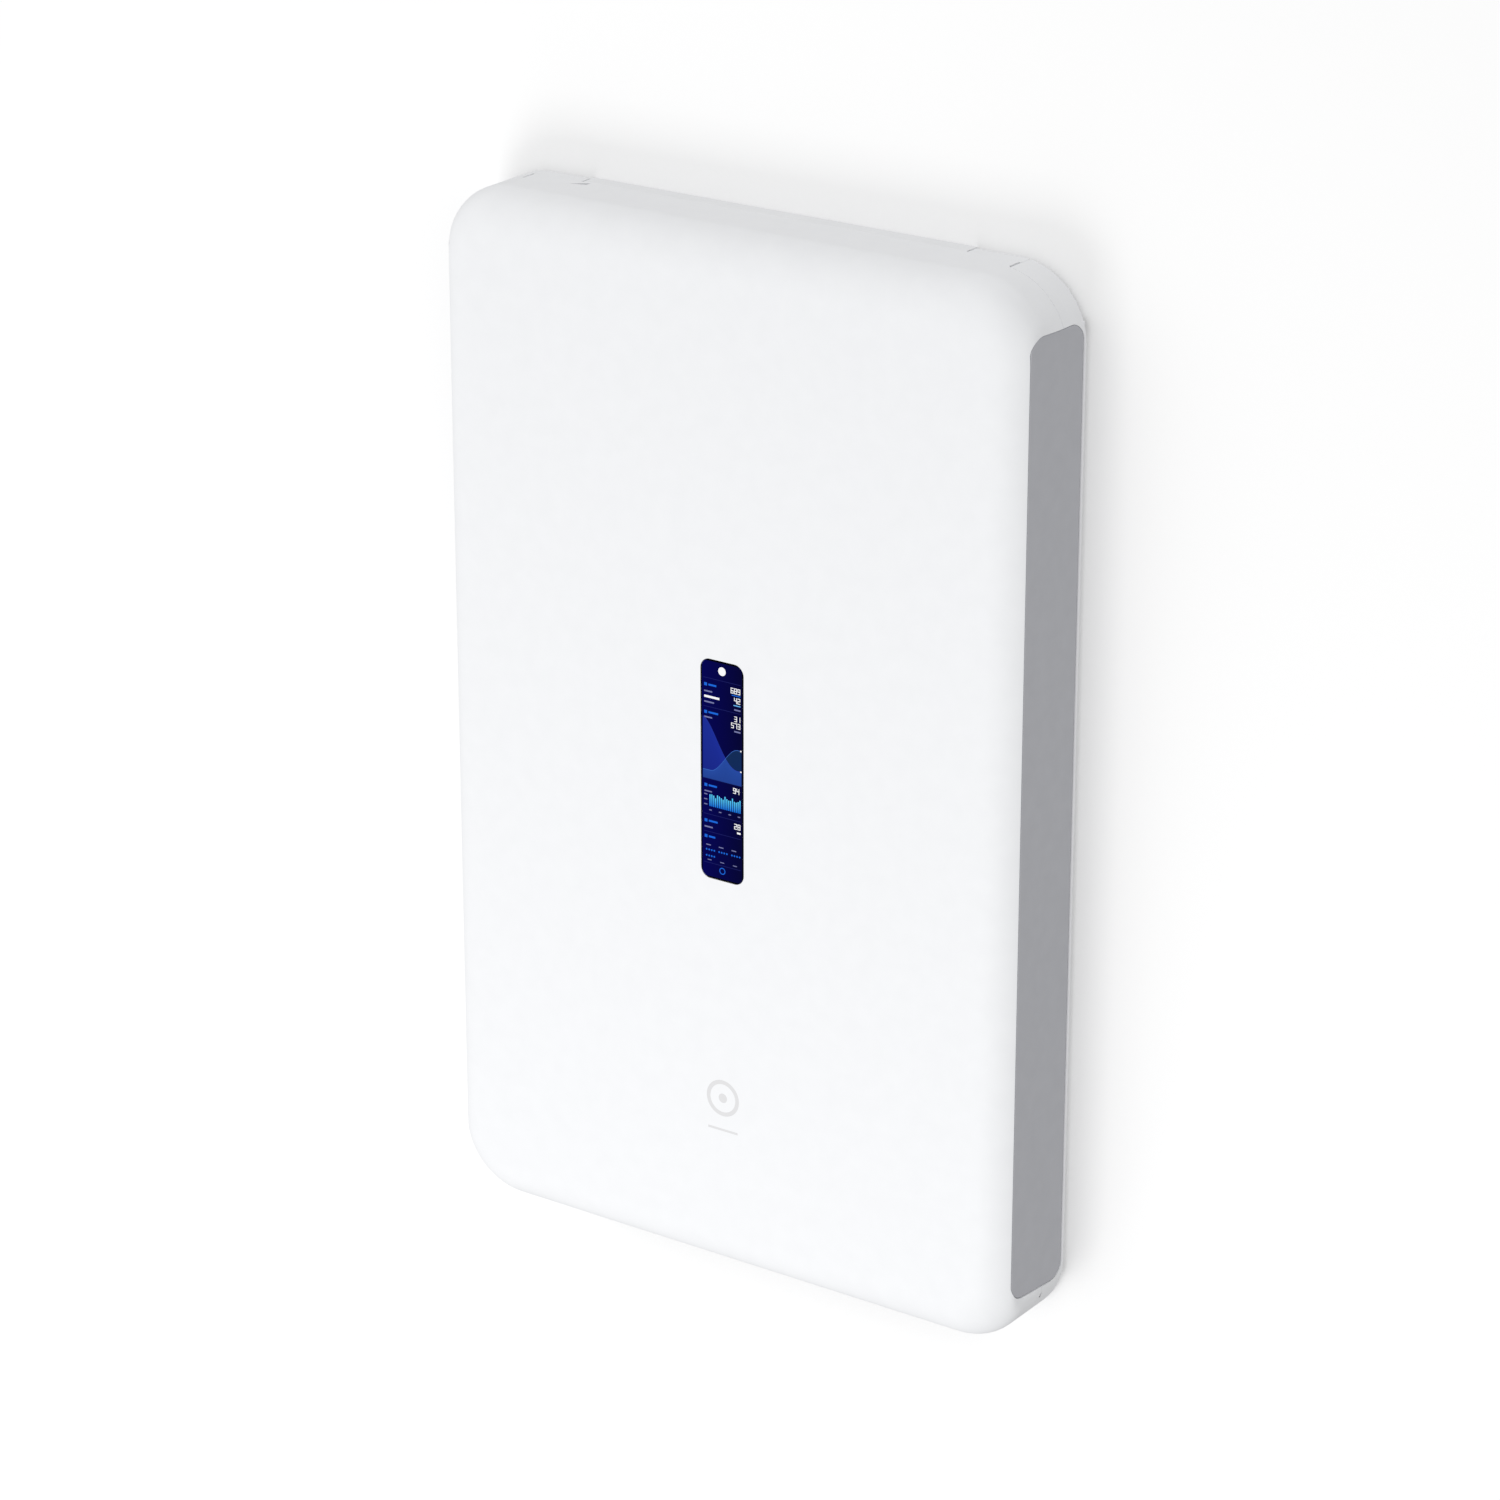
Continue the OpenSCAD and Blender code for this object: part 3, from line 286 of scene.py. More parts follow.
@dataclass(frozen=True)
class Finish:
    """A surface finish: two tones spread by a pattern, with its relief.

    Attributes:
        name: The material's name.
        colour: The main colour, linear.
        second: The colour where the pattern's tone is high; the main colour if None.
        spread: How much of the second colour the pattern brings in.
        rough: The lowest and the highest roughness.
        metal: How metallic the surface is.
        coat: Weight of a clear coat.
        pattern: The pattern on the surface.
        scale: The pattern's scale, in features per metre.
        relief: Height of the pattern, in metres.
        specular: The shader's specular level.
    """

    name: str
    colour: Colour
    second: Colour | None = None
    spread: float = 1.0
    rough: tuple[float, float] = (0.35, 0.45)
    metal: float = 0.0
    coat: float = 0.0
    pattern: Pattern = Pattern.GRAIN
    scale: float = 2500.0
    relief: float = 0.00001
    specular: float = 0.5

    def material(self) -> bpy.types.Material:
        """Returns the finish's material, and builds it the first time."""
        return bpy.data.materials.get(self.name) or self._build()

    def _build(self) -> bpy.types.Material:
        """Builds the material: pattern group, two-tone colour, roughness and relief.

        Returns:
            The new material.
        """
        made = bpy.data.materials.new(self.name)
        made.use_nodes = True
        tree = made.node_tree
        tree.nodes.clear()
        place = add_node(tree, "ShaderNodeTexCoord", (-1200, 0))
        group = add_node(
            tree, "ShaderNodeGroup", (-900, 0), node_tree=PatternShop.get(self.pattern)
        )
        group.inputs["Scale"].default_value = self.scale
        tree.links.new(place.outputs["Object"], group.inputs["Vector"])
        shader = self.shader(tree)
        tree.links.new(self.colour_nodes(tree, group, place), shader.inputs["Base Color"])
        rough = add_node(tree, "ShaderNodeMapRange", (-600, -200))
        rough.inputs["To Min"].default_value, rough.inputs["To Max"].default_value = self.rough
        tree.links.new(group.outputs["Tone"], rough.inputs["Value"])
        tree.links.new(rough.outputs["Result"], shader.inputs["Roughness"])
        bump = add_node(tree, "ShaderNodeBump", (-300, -400))
        bump.inputs["Distance"].default_value = self.relief
        tree.links.new(group.outputs["Height"], bump.inputs["Height"])
        tree.links.new(bump.outputs["Normal"], shader.inputs["Normal"])
        return made

    def shader(self, tree: Tree) -> Node:
        """Adds the shader and the output, with the finish's constant values.

        Args:
            tree: The material's node tree.

        Returns:
            The shader node.
        """
        shader = add_node(tree, "ShaderNodeBsdfPrincipled", (0, 0))
        output = add_node(tree, "ShaderNodeOutputMaterial", (300, 0))
        shader.inputs["Metallic"].default_value = self.metal
        shader.inputs["Coat Weight"].default_value = self.coat
        shader.inputs["Specular IOR Level"].default_value = self.specular
        tree.links.new(shader.outputs["BSDF"], output.inputs["Surface"])
        return shader

    def colour_nodes(self, tree: Tree, group: Node, place: Node) -> Socket:
        """Mixes the two colours by the pattern's tone.

        Args:
            tree: The material's node tree.
            group: The pattern group's node.
            place: The Texture Coordinate node.

        Returns:
            The colour's socket.
        """
        ramp = add_node(tree, "ShaderNodeMapRange", (-600, 100))
        ramp.inputs["From Min"].default_value = 0.3
        ramp.inputs["From Max"].default_value = 0.7
        ramp.inputs["To Max"].default_value = self.spread
        tree.links.new(group.outputs["Tone"], ramp.inputs["Value"])
        return mix_node(tree, ramp.outputs["Result"], self.colour, self.second or self.colour)


@dataclass(frozen=True)
class MarkedFinish(Finish):
    """The cover's plastic, with a printed ring, a dot and a short bar low on its front.

    Attributes:
        ink: The print's colour.
        ring: Radius and line width of the ring, in metres.
        centre_z: Height of the ring's centre.
        dot: Radius of the dot.
        bar: Half width, half height and distance below the ring of the bar.
        front: The print lies only in front of this depth.
    """

    ink: Colour = (0.77, 0.77, 0.78)
    ring: tuple[float, float] = (0.0082, 0.0021)
    centre_z: float = -0.165
    dot: float = 0.0024
    bar: tuple[float, float, float] = (0.0085, 0.0006, 0.0165)
    front: float = -0.046

    def colour_nodes(self, tree: Tree, group: Node, place: Node) -> Socket:
        """Puts the print over the plain two-tone colour.

        The print is where the place is within half a line's width of the ring, within the
        dot's radius of its centre, or inside the bar, and only on the front face.

        Args:
            tree: The material's node tree.
            group: The pattern group's node.
            place: The Texture Coordinate node.

        Returns:
            The colour's socket.
        """
        plain = super().colour_nodes(tree, group, place)
        split = add_node(tree, "ShaderNodeSeparateXYZ", (-1000, 500))
        tree.links.new(place.outputs["Object"], split.inputs[0])
        sum_of = functools.partial(math_node, tree)
        across = split.outputs["X"]
        up = sum_of("SUBTRACT", split.outputs["Z"], self.centre_z)
        squares = sum_of("ADD", sum_of("MULTIPLY", across, across), sum_of("MULTIPLY", up, up))
        reach = sum_of("POWER", squares, 0.5)
        off_ring = sum_of("ABSOLUTE", sum_of("SUBTRACT", reach, self.ring[0]))
        ring = sum_of("LESS_THAN", off_ring, self.ring[1] / 2)
        dot = sum_of("LESS_THAN", reach, self.dot)
        in_width = sum_of("LESS_THAN", sum_of("ABSOLUTE", across), self.bar[0])
        below = sum_of("ABSOLUTE", sum_of("ADD", up, self.bar[2]))
        bar = sum_of("MULTIPLY", in_width, sum_of("LESS_THAN", below, self.bar[1]))
        front = sum_of("LESS_THAN", split.outputs["Y"], self.front)
        mark = sum_of("MAXIMUM", sum_of("MAXIMUM", ring, dot), bar)
        return mix_node(tree, sum_of("MULTIPLY", mark, front), plain, self.ink)


@dataclass(frozen=True)
class ScreenFinish(Finish):
    """Dark cover glass over a lit screen, with a black border.

    Attributes:
        left: Colour of the lit ground at the left edge.
        right: Colour of the lit ground at the right edge.
        half: Half width and half height of the lit ground, in metres.
        glow: Strength of the screen's light.
    """

    left: Colour = (0.0, 0.0, 0.085)
    right: Colour = (0.0, 0.0, 0.03)
    half: tuple[float, float] = (0.0112, 0.0532)
    glow: float = 1.0

    def shader(self, tree: Tree) -> Node:
        """Adds the shader, lit by a ground that runs from its left to its right colour.

        Args:
            tree: The material's node tree.

        Returns:
            The shader node.
        """
        shader = super().shader(tree)
        place = add_node(tree, "ShaderNodeTexCoord", (-1200, 900))
        split = add_node(tree, "ShaderNodeSeparateXYZ", (-1000, 900))
        ground = add_node(tree, "ShaderNodeMapRange", (-700, 900))
        ground.inputs["From Min"].default_value = -self.half[0]
        ground.inputs["From Max"].default_value = self.half[0]
        tree.links.new(place.outputs["Object"], split.inputs[0])
        tree.links.new(split.outputs["X"], ground.inputs["Value"])
        sum_of = functools.partial(math_node, tree)
        in_width = sum_of("LESS_THAN", sum_of("ABSOLUTE", split.outputs["X"]), self.half[0])
        in_height = sum_of("LESS_THAN", sum_of("ABSOLUTE", split.outputs["Z"]), self.half[1])
        colour = mix_node(tree, ground.outputs["Result"], self.left, self.right)
        lit = mix_node(tree, sum_of("MULTIPLY", in_width, in_height), (0.0, 0.0, 0.0), colour)
        tree.links.new(lit, shader.inputs["Emission Color"])
        shader.inputs["Emission Strength"].default_value = self.glow
        return shader


@dataclass(frozen=True)
class TintFinish(Finish):
    """Lit marks on the screen: their colour comes from the mesh's own tint."""

    def shader(self, tree: Tree) -> Node:
        """Adds the shader, lit by the mesh's tint.

        Args:
            tree: The material's node tree.

        Returns:
            The shader node.
        """
        shader = super().shader(tree)
        tint = add_node(tree, "ShaderNodeAttribute", (-400, 700), attribute_name="tint")
        tree.links.new(tint.outputs["Color"], shader.inputs["Emission Color"])
        shader.inputs["Emission Strength"].default_value = 1.0
        return shader


WHITE = linear(249, 250, 252)
WHITE_LOW = linear(247, 248, 250)

COVER_PLASTIC = MarkedFinish(
    "cover_plastic_white", WHITE, WHITE_LOW, rough=(0.46, 0.52), relief=0.000004, scale=3500,
    specular=0.25,
)
FRAME_PLASTIC = Finish(
    "frame_plastic_white", WHITE, WHITE_LOW, rough=(0.46, 0.52), relief=0.000004, scale=3500,
    specular=0.25,
)
PANEL_SATIN = Finish(
    "panel_satin_grey", linear(193, 194, 199), linear(190, 191, 196), rough=(0.5, 0.58),
    relief=0.000003, scale=4200, specular=0.3,
)
HOUSING_PAINT = Finish(
    "housing_painted_steel", linear(221, 223, 226), linear(217, 219, 223), rough=(0.42, 0.55),
    relief=0.000012, scale=1500,
)
BRACKET_PAINT = Finish(
    "bracket_painted_steel", linear(249, 250, 252), linear(245, 246, 248), rough=(0.36, 0.5),
    relief=0.00001, scale=1700,
)
SCREW_ZINC = Finish(
    "screw_zinc", linear(190, 192, 196), linear(150, 153, 160), 0.5, (0.22, 0.4), 1.0,
    pattern=Pattern.BRUSH, scale=3000, relief=0.000004,
)
PLAIN_STEEL = Finish(
    "plain_steel_drawn", linear(196, 198, 202), linear(168, 171, 177), 0.6, (0.25, 0.42), 1.0,
    pattern=Pattern.BRUSH, scale=2200, relief=0.000005,
)
RUBBER = Finish(
    "rubber_black", linear(38, 38, 40), linear(52, 52, 55), 0.7, (0.7, 0.85), relief=0.00003,
    scale=1800, specular=0.3,
)
FILTER_MESH = Finish(
    "filter_woven_black", linear(20, 20, 22), linear(70, 70, 74), 1.0, (0.6, 0.75),
    pattern=Pattern.WEAVE, scale=160, relief=0.0002,
)
SCREEN_GLASS = ScreenFinish(
    "screen_glass", (0.0002, 0.0002, 0.0006), rough=(0.12, 0.16), relief=0.000001, specular=0.04
)
SCREEN_MARKS = TintFinish(
    "screen_marks", (0.001, 0.001, 0.001), rough=(0.3, 0.4), relief=0.000001, specular=0.0
)
GASKET_FOAM = Finish(
    "gasket_foam", linear(30, 30, 32), linear(60, 60, 63), 1.0, (0.85, 0.95), relief=0.0001,
    scale=1200, specular=0.2,
)
BLACK_PLASTIC = Finish(
    "plastic_black", linear(28, 28, 30), linear(38, 38, 41), 0.8, (0.38, 0.52), relief=0.00001,
    scale=2600,
)
ROTOR_PLASTIC = Finish(
    "rotor_plastic", linear(46, 47, 50), linear(60, 61, 65), 0.6, (0.3, 0.42), relief=0.000006,
    scale=2000,
)
RIBBON_FILM = Finish(
    "ribbon_film", linear(196, 150, 74), linear(150, 96, 40), 1.0, (0.25, 0.35), coat=0.4,
    pattern=Pattern.WOUND, scale=300, relief=0.00002,
)
BRASS = Finish(
    "brass_turned", linear(206, 168, 92), linear(180, 140, 70), 0.7, (0.2, 0.35), 1.0,
    pattern=Pattern.BRUSH, scale=2600, relief=0.000004,
)
GOLD_PLATE = Finish(
    "gold_plate", linear(232, 190, 96), linear(214, 168, 80), 0.6, (0.15, 0.26), 1.0, scale=3000,
    relief=0.000002,
)
BOARD_LACQUER = Finish(
    "board_lacquer_green", linear(18, 66, 40), linear(38, 98, 58), 1.0, (0.3, 0.4), coat=0.3,
    pattern=Pattern.TRACKS, scale=220, relief=0.00003,
)
FIN_ALUMINIUM = Finish(
    "fins_anodised", linear(60, 62, 68), linear(84, 87, 94), 0.7, (0.3, 0.42), 0.85,
    pattern=Pattern.BRUSH, scale=1800, relief=0.000006,
)
CHIP_EPOXY = Finish(
    "chip_epoxy", linear(32, 33, 35), linear(44, 45, 48), 0.8, (0.5, 0.65), relief=0.00001,
    scale=4000,
)
WINDING_WIRE = Finish(
    "winding_copper", linear(150, 72, 30), linear(214, 128, 66), 1.0, (0.22, 0.36), 0.8, coat=0.5,
    pattern=Pattern.WOUND, scale=260, relief=0.0003,
)
TAPE_YELLOW = Finish(
    "tape_yellow", linear(222, 184, 64), linear(198, 158, 44), 0.8, (0.3, 0.42),
    pattern=Pattern.WOUND, scale=30, relief=0.00004,
)
LEAD_BLACK = Finish(
    "lead_black", linear(30, 30, 32), linear(44, 44, 47), 0.7, (0.4, 0.55), relief=0.00002,
    scale=1600,
)
LEAD_RED = Finish(
    "lead_red", linear(168, 30, 26), linear(140, 20, 20), 0.7, (0.38, 0.5), relief=0.00002,
    scale=1600,
)
CAN_SLEEVE = Finish(
    "can_sleeve_blue", linear(24, 40, 86), linear(34, 54, 108), 0.8, (0.28, 0.4), coat=0.3,
    scale=1500, relief=0.00001,
)


# --- meshes ------------------------------------------------------------------------------

CORNERS = np.array([[1, 1], [-1, 1], [-1, -1], [1, -1]], float)


def outline_template(corner_steps: int = 14, side_steps: int = 8) -> Array:
    """Weights that turn half sizes and a radius into a rounded rectangle's points.

    A point is (a (w/2 - r) + b r, c (h/2 - r) + d r). Over a corner a and c stay at the
    corner's signs while (b, d) turns through a right angle, and along a side they run
    evenly from one corner to the next. The points go anticlockwise.

    Args:
        corner_steps: Steps in each corner.
        side_steps: Steps along each side.

    Returns:
        One row of a, b, c, d for each point.
    """
    angle = np.linspace(0, math.pi / 2, corner_steps + 1)
    turn = angle[None, :] + np.arange(4)[:, None] * math.pi / 2
    ones = np.ones_like(angle)
    a, c = CORNERS[:, :1] * ones, CORNERS[:, 1:] * ones
    arcs = np.stack([a, np.cos(turn), c, np.sin(turn)], -1)
    share = np.linspace(0, 1, side_steps + 1)[1:-1, None]
    ends, starts = arcs[:, -1:, :], np.roll(arcs, -1, 0)[:, :1, :]
    sides = ends + (starts - ends) * share
    return np.concatenate([arcs, sides], 1).reshape(-1, 4)


TEMPLATE = outline_template()


def outlines(
    width: Array | float, height: Array | float, radius: Array | float, template: Array = TEMPLATE
) -> Array:
    """Rounded rectangles from the template, one for each width, height and radius.

    Args:
        width: Widths, one value or an array.
        height: Heights.
        radius: Corner radii.
        template: The outline template.

    Returns:
        Points as (rectangle, point, 2).
    """
    sizes = np.broadcast_arrays(width, height, radius)
    w, h, r = (np.atleast_1d(np.asarray(value, float)) for value in sizes)
    a, b, c, d = template.T
    across = (w / 2 - r)[:, None] * a + r[:, None] * b
    up = (h / 2 - r)[:, None] * c + r[:, None] * d
    return np.stack([across, up], -1)


def volume_of(points: Array, faces: Sequence[Sequence[int]]) -> float:
    """Signed volume inside closed faces: a sixth of the sum of a . (b x c) over each fan.

    Args:
        points: The points.
        faces: The faces, as rows of point numbers.

    Returns:
        The volume, positive where the faces point outwards.
    """
    total = 0.0
    for size in {len(face) for face in faces}:
        rows = points[np.array([face for face in faces if len(face) == size])]
        total += float(np.einsum("ij,ikj->", rows[:, 0], np.cross(rows[:, 1:-1], rows[:, 2:])))
    return total / 6


@dataclass
class MeshParts:
    """Points and faces gathered from several surfaces, which become one mesh."""

    points: list[Array] = field(default_factory=list)
    faces: list[list[int]] = field(default_factory=list)
    tints: list[Array] = field(default_factory=list)
    count: int = 0

    def add(
        self, points: Array, faces: list[list[int]], closed: bool = True, tint: Array | None = None
    ) -> None:
        """Adds a surface, turned to face outwards if it is closed.

        Args:
            points: The surface's points.
            faces: Its faces, as rows of point numbers.
            closed: Whether the surface is closed.
            tint: A colour for each point, or one for them all.
        """
        points = points.reshape(-1, 3)
        if closed and volume_of(points, faces) < 0:
            faces = [face[::-1] for face in faces]
        self.faces += [[index + self.count for index in face] for face in faces]
        self.points.append(points)
        tint = np.zeros(3) if tint is None else np.asarray(tint, float)
        self.tints.append(np.broadcast_to(tint, (len(points), 3)))
        self.count += len(points)

    def grid(self, grid: Array, ring_rows: bool = False) -> None:
        """Adds a closed surface, given as a grid of points whose last column joins the first.

        Args:
            grid: The points as (row, column, 3).
            ring_rows: Whether the last row joins the first; if not, one face closes each end.
        """
        rows, columns = grid.shape[:2]
        index = np.arange(rows * columns).reshape(rows, columns)
        right, down = np.roll(index, -1, 1), np.roll(index, -1, 0)
        quads = np.stack([index, right, np.roll(down, -1, 1), down], -1)
        faces = quads[: rows if ring_rows else rows - 1].reshape(-1, 4).tolist()
        if not ring_rows:
            faces += [index[0, ::-1].tolist(), index[-1].tolist()]
        self.add(grid, faces)

    def box(self, low: Sequence[float], high: Sequence[float], edge: float = 0.0) -> None:
        """Adds a box with edges cut back by edge.

        Args:
            low: Its lowest corner.
            high: Its highest corner.
            edge: Width of the cut along its edges.
        """
        low, high = np.asarray(low, float), np.asarray(high, float)
        middle, size = (low + high) / 2, high - low
        if edge:
            inset = np.array([edge, 0, 0, edge])
            depth = np.array([0, edge, size[1] - edge, size[1]])
            wide, tall = size[0] - 2 * inset, size[2] - 2 * inset
            flat = outlines(wide, tall, edge, outline_template(1, 1))
        else:
            depth = np.array([0, size[1]])
            flat = np.stack([CORNERS / 2 * size[[0, 2]]] * 2)
        y = np.broadcast_to((low[1] + depth)[:, None], flat.shape[:2])
        self.grid(np.stack([flat[..., 0] + middle[0], y, flat[..., 1] + middle[2]], -1))

    def joined(self) -> Array:
        """Returns all points as one array."""
        return np.concatenate(self.points)


def plate_rings(
    width: float, height: float, radius: float, profile: Array, template: Array = TEMPLATE
) -> Array:
    """Outlines carried along a profile of (inset, depth) pairs.

    Args:
        width: Width at no inset.
        height: Height at no inset.
        radius: Corner radius at no inset.
        profile: Rows of inset and depth.
        template: The outline template.

    Returns:
        Points as (row, point, 3), with depth as the last coordinate.
    """
    inset, depth = profile.T
    flat = outlines(
        width - 2 * inset, height - 2 * inset, np.maximum(radius - inset, 0.0001), template
    )
    deep = np.broadcast_to(depth[:, None, None], (*flat.shape[:2], 1))
    return np.concatenate([flat, deep], -1)


def rounded_edge(inset: float, low: float, high: float, edge: float, steps: int = 4) -> Array:
    """Profile of a plate's rim: both edges are quarter circles, with a flat ring inside each.

    Args:
        inset: Inset of the rim itself.
        low: Depth of the back face.
        high: Depth of the front face.
        edge: Radius of both edges.
        steps: Steps round each edge.

    Returns:
        Rows of inset and depth, from the back face round the rim to the front face.
    """
    angle = np.linspace(0, math.pi / 2, steps + 1)
    sign = 1 if high > low else -1
    across, deep = edge * (1 - np.sin(angle)), edge * (1 - np.cos(angle))
    back = np.stack([inset + across, low + sign * deep], -1)
    front = np.stack([back[::-1, 0], high - (back[::-1, 1] - low)], -1)
    return np.concatenate([[[inset + 2 * edge, low]], back, front, [[inset + 2 * edge, high]]])


def revolve(profile: Array, sides: int = 40) -> Array:
    """Carries a profile of (radius, height) round the Z axis.

    Args:
        profile: Rows of radius and height.
        sides: Steps round the axis.

    Returns:
        Points as (row, side, 3).
    """
    angle = np.arange(sides) * 2 * math.pi / sides
    radius, height = profile[:, :1], profile[:, 1:]
    up = np.broadcast_to(height, (len(profile), sides))
    return np.stack([radius * np.cos(angle), radius * np.sin(angle), up], -1)


def tube(path: Array, radius: float, sides: int = 16, steady: Sequence[float] = (0, 0, 1)) -> Array:
    """Carries a circle along a path.

    Each ring stands square to the path: its first axis is steady x along, its second
    along x first.

    Args:
        path: The path's points.
        radius: The circle's radius.
        sides: Steps round the circle.
        steady: A direction that the path never runs along.

    Returns:
        Points as (ring, side, 3).
    """
    along = np.gradient(path, axis=0)
    along /= np.linalg.norm(along, axis=1, keepdims=True)
    first = np.cross(np.asarray(steady, float), along)
    first /= np.linalg.norm(first, axis=1, keepdims=True)
    second = np.cross(along, first)
    angle = (np.arange(sides) * 2 * math.pi / sides)[None, :, None]
    spoke = first[:, None] * np.cos(angle) + second[:, None] * np.sin(angle)
    return path[:, None] + radius * spoke


class Piece:
    """Turns gathered surfaces into a finished, riding piece."""

    @staticmethod
    def plain(name: str, parts: MeshParts, smooth: float = EDGE_ANGLE) -> bpy.types.Object:
        """Makes an object from surfaces.

        Args:
            name: The object's name.
            parts: Its surfaces.
            smooth: Edges bent by more degrees than this stay sharp.

        Returns:
            The object, linked to the scene.
        """
        mesh = bpy.data.meshes.new(name)
        mesh.from_pydata(parts.joined().tolist(), [], parts.faces)
        tint = mesh.color_attributes.new("tint", "FLOAT_COLOR", "POINT")
        colours = np.concatenate([np.concatenate(parts.tints), np.ones((parts.count, 1))], 1)
        tint.data.foreach_set("color", colours.astype(np.float32).ravel())
        mesh.shade_smooth()
        mesh.set_sharp_from_angle(angle=math.radians(smooth))
        made = bpy.data.objects.new(name, mesh)
        bpy.context.scene.collection.objects.link(made)
        return made

    @staticmethod
    def dress(
        made: bpy.types.Object, finish: Finish, body: str, slot: str, replaces: Sequence[str] = ()
    ) -> bpy.types.Object:
        """Gives a piece its finish, its body and the nodes that it stands for.

        Args:
            made: The object.
            finish: Its finish.
            body: The body that it rides on.
            slot: The record's material slot; not used.
            replaces: The CAD nodes that it stands for.

        Returns:
            The same object.
        """
        made.data.materials.clear()
        made.data.materials.append(finish.material())
        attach(made, body)
        if replaces:
            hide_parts(*replaces)
        faces, nodes = len(made.data.polygons), ", ".join(replaces) or "detail"
        log.info("%s: %d faces on %s, for %s", made.name, faces, body, nodes)
        return made

    @classmethod
    def make(
        cls,
        name: str,
        parts: MeshParts,
        finish: Finish,
        body: str,
        slot: str,
        replaces: Sequence[str] = (),
        smooth: float = EDGE_ANGLE,
    ) -> bpy.types.Object:
        """Makes and dresses a piece in one go; the arguments are those of plain and dress."""
        return cls.dress(cls.plain(name, parts, smooth), finish, body, slot, replaces)

    @staticmethod
    def cut(made: bpy.types.Object, parts: MeshParts, operation: str = "DIFFERENCE") -> None:
        """Cuts a piece with closed surfaces, and keeps the result as its mesh.

        Args:
            made: The piece.
            parts: The cutter's surfaces.
            operation: "DIFFERENCE" or "INTERSECT".
        """
        cutter = Piece.plain("cutter", parts)
        step = made.modifiers.new("cut", "BOOLEAN")
        step.operation, step.solver, step.object = operation, "EXACT", cutter
        bpy.context.view_layer.update()
        seen = made.evaluated_get(bpy.context.evaluated_depsgraph_get())
        shaped = bpy.data.meshes.new_from_object(seen)
        made.modifiers.clear()
        old, made.data = made.data, shaped
        shaped.name = made.name
        bpy.data.meshes.remove(old)
        bpy.data.objects.remove(cutter)
        shaped.shade_smooth()
        shaped.set_sharp_from_angle(angle=math.radians(EDGE_ANGLE))


# --- the case ----------------------------------------------------------------------------

PAST = 2 * MM  # how far a cutter reaches past the skin it cuts


@dataclass
class CaseForm:
    """The case's outer form: a slab with a soft front blend whose sides lean in.

    Attributes:
        corner: Corner radius seen from the front.
        across: How far the blend reaches across the front.
        back: How far the blend reaches down the sides.
        wall: Wall thickness.
        lean_in: How far a side leans in over the depth down to the blend's middle.
        soften: How soft the crease between a side and a corner is.
        glass: Width, height and corner radius of the display's opening.
        rows: Steps down the straight side and round the blend.
        spread: How far each row of the front has passed from the blend to the opening.
    """

    corner: float = 35 * MM
    across: float = 22 * MM
    back: float = 14.5 * MM
    wall: float = 2.5 * MM
    lean_in: float = 3.6 * MM
    soften: float = 1.0 * MM
    glass: tuple[float, float, float] = (24.2 * MM, 108.4 * MM, 5.2 * MM)
    rows: tuple[int, int] = (8, 30)
    spread: tuple[float, ...] = (0.01, 0.05, 0.2, 0.4, 0.6, 0.8, 0.95, 0.99, 1.0)

    def __post_init__(self) -> None:
        """Reads the case's box from the frame."""
        low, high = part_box("front_cover")
        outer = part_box("side_frame_right")[1]
        self.width = 2 * outer.x
        self.height = high.z - low.z
        self.y_front = low.y
        self.y_back = outer.y
        self.slope = self.lean_in / (self.y_back - self.y_front - self.back / 2)

    def side_limit(self, y: Array, inset: float) -> Array:
        """How far out a leaning side is at depth y: half width - inset - slope (y_back - y)."""
        return self.width / 2 - inset - self.slope * (self.y_back - y)

    def skin(self, inset: float) -> Array:
        """The slab's skin at an inset, from its back edge to the display's opening.

        Outlines run straight from the back to the blend. There the inset grows as
        (across - inset)(1 - cos a) while the depth goes on by (back - inset) sin a, a from
        0 to 90 degrees. On the front they pass evenly into the display's outline. Then each
        point's distance to the side is held by a soft least of it and the side's limit.

        Args:
            inset: The inset all round.

        Returns:
            Points as (row, point, 3).
        """
        y_blend = self.y_front + self.back
        straight = np.linspace(self.y_back, y_blend, self.rows[0] + 1)[:-1]
        angle = np.linspace(0, math.pi / 2, self.rows[1] + 1)
        y = np.concatenate([straight, y_blend - (self.back - inset) * np.sin(angle)])
        grow = inset + (self.across - inset) * (1 - np.cos(angle))
        inward = np.concatenate([np.full(len(straight), inset), grow])
        side = outlines(self.width - 2 * inward, self.height - 2 * inward, self.corner - inward)
        share = np.array(self.spread)[:, None, None]
        front = side[-1] + (outlines(*self.glass)[0] - side[-1]) * share
        flat = np.concatenate([side, front])
        depth = np.concatenate([y, np.full(len(front), self.y_front + inset)])[:, None]
        limit = self.side_limit(depth, inset)
        reach = np.abs(flat[..., 0])
        near = np.maximum(self.soften - np.abs(reach - limit), 0)
        held = np.minimum(reach, limit) - near**2 / (4 * self.soften)
        across = np.sign(flat[..., 0]) * held
        return np.stack([across, np.broadcast_to(depth, across.shape), flat[..., 1]], -1)

    def shell(self) -> MeshParts:
        """The closed shell: outer skin, display opening and inner skin, joined at the back."""
        parts = MeshParts()
        skins = np.concatenate([self.skin(0.0), self.skin(self.wall)[::-1]])
        parts.grid(skins, ring_rows=True)
        return parts


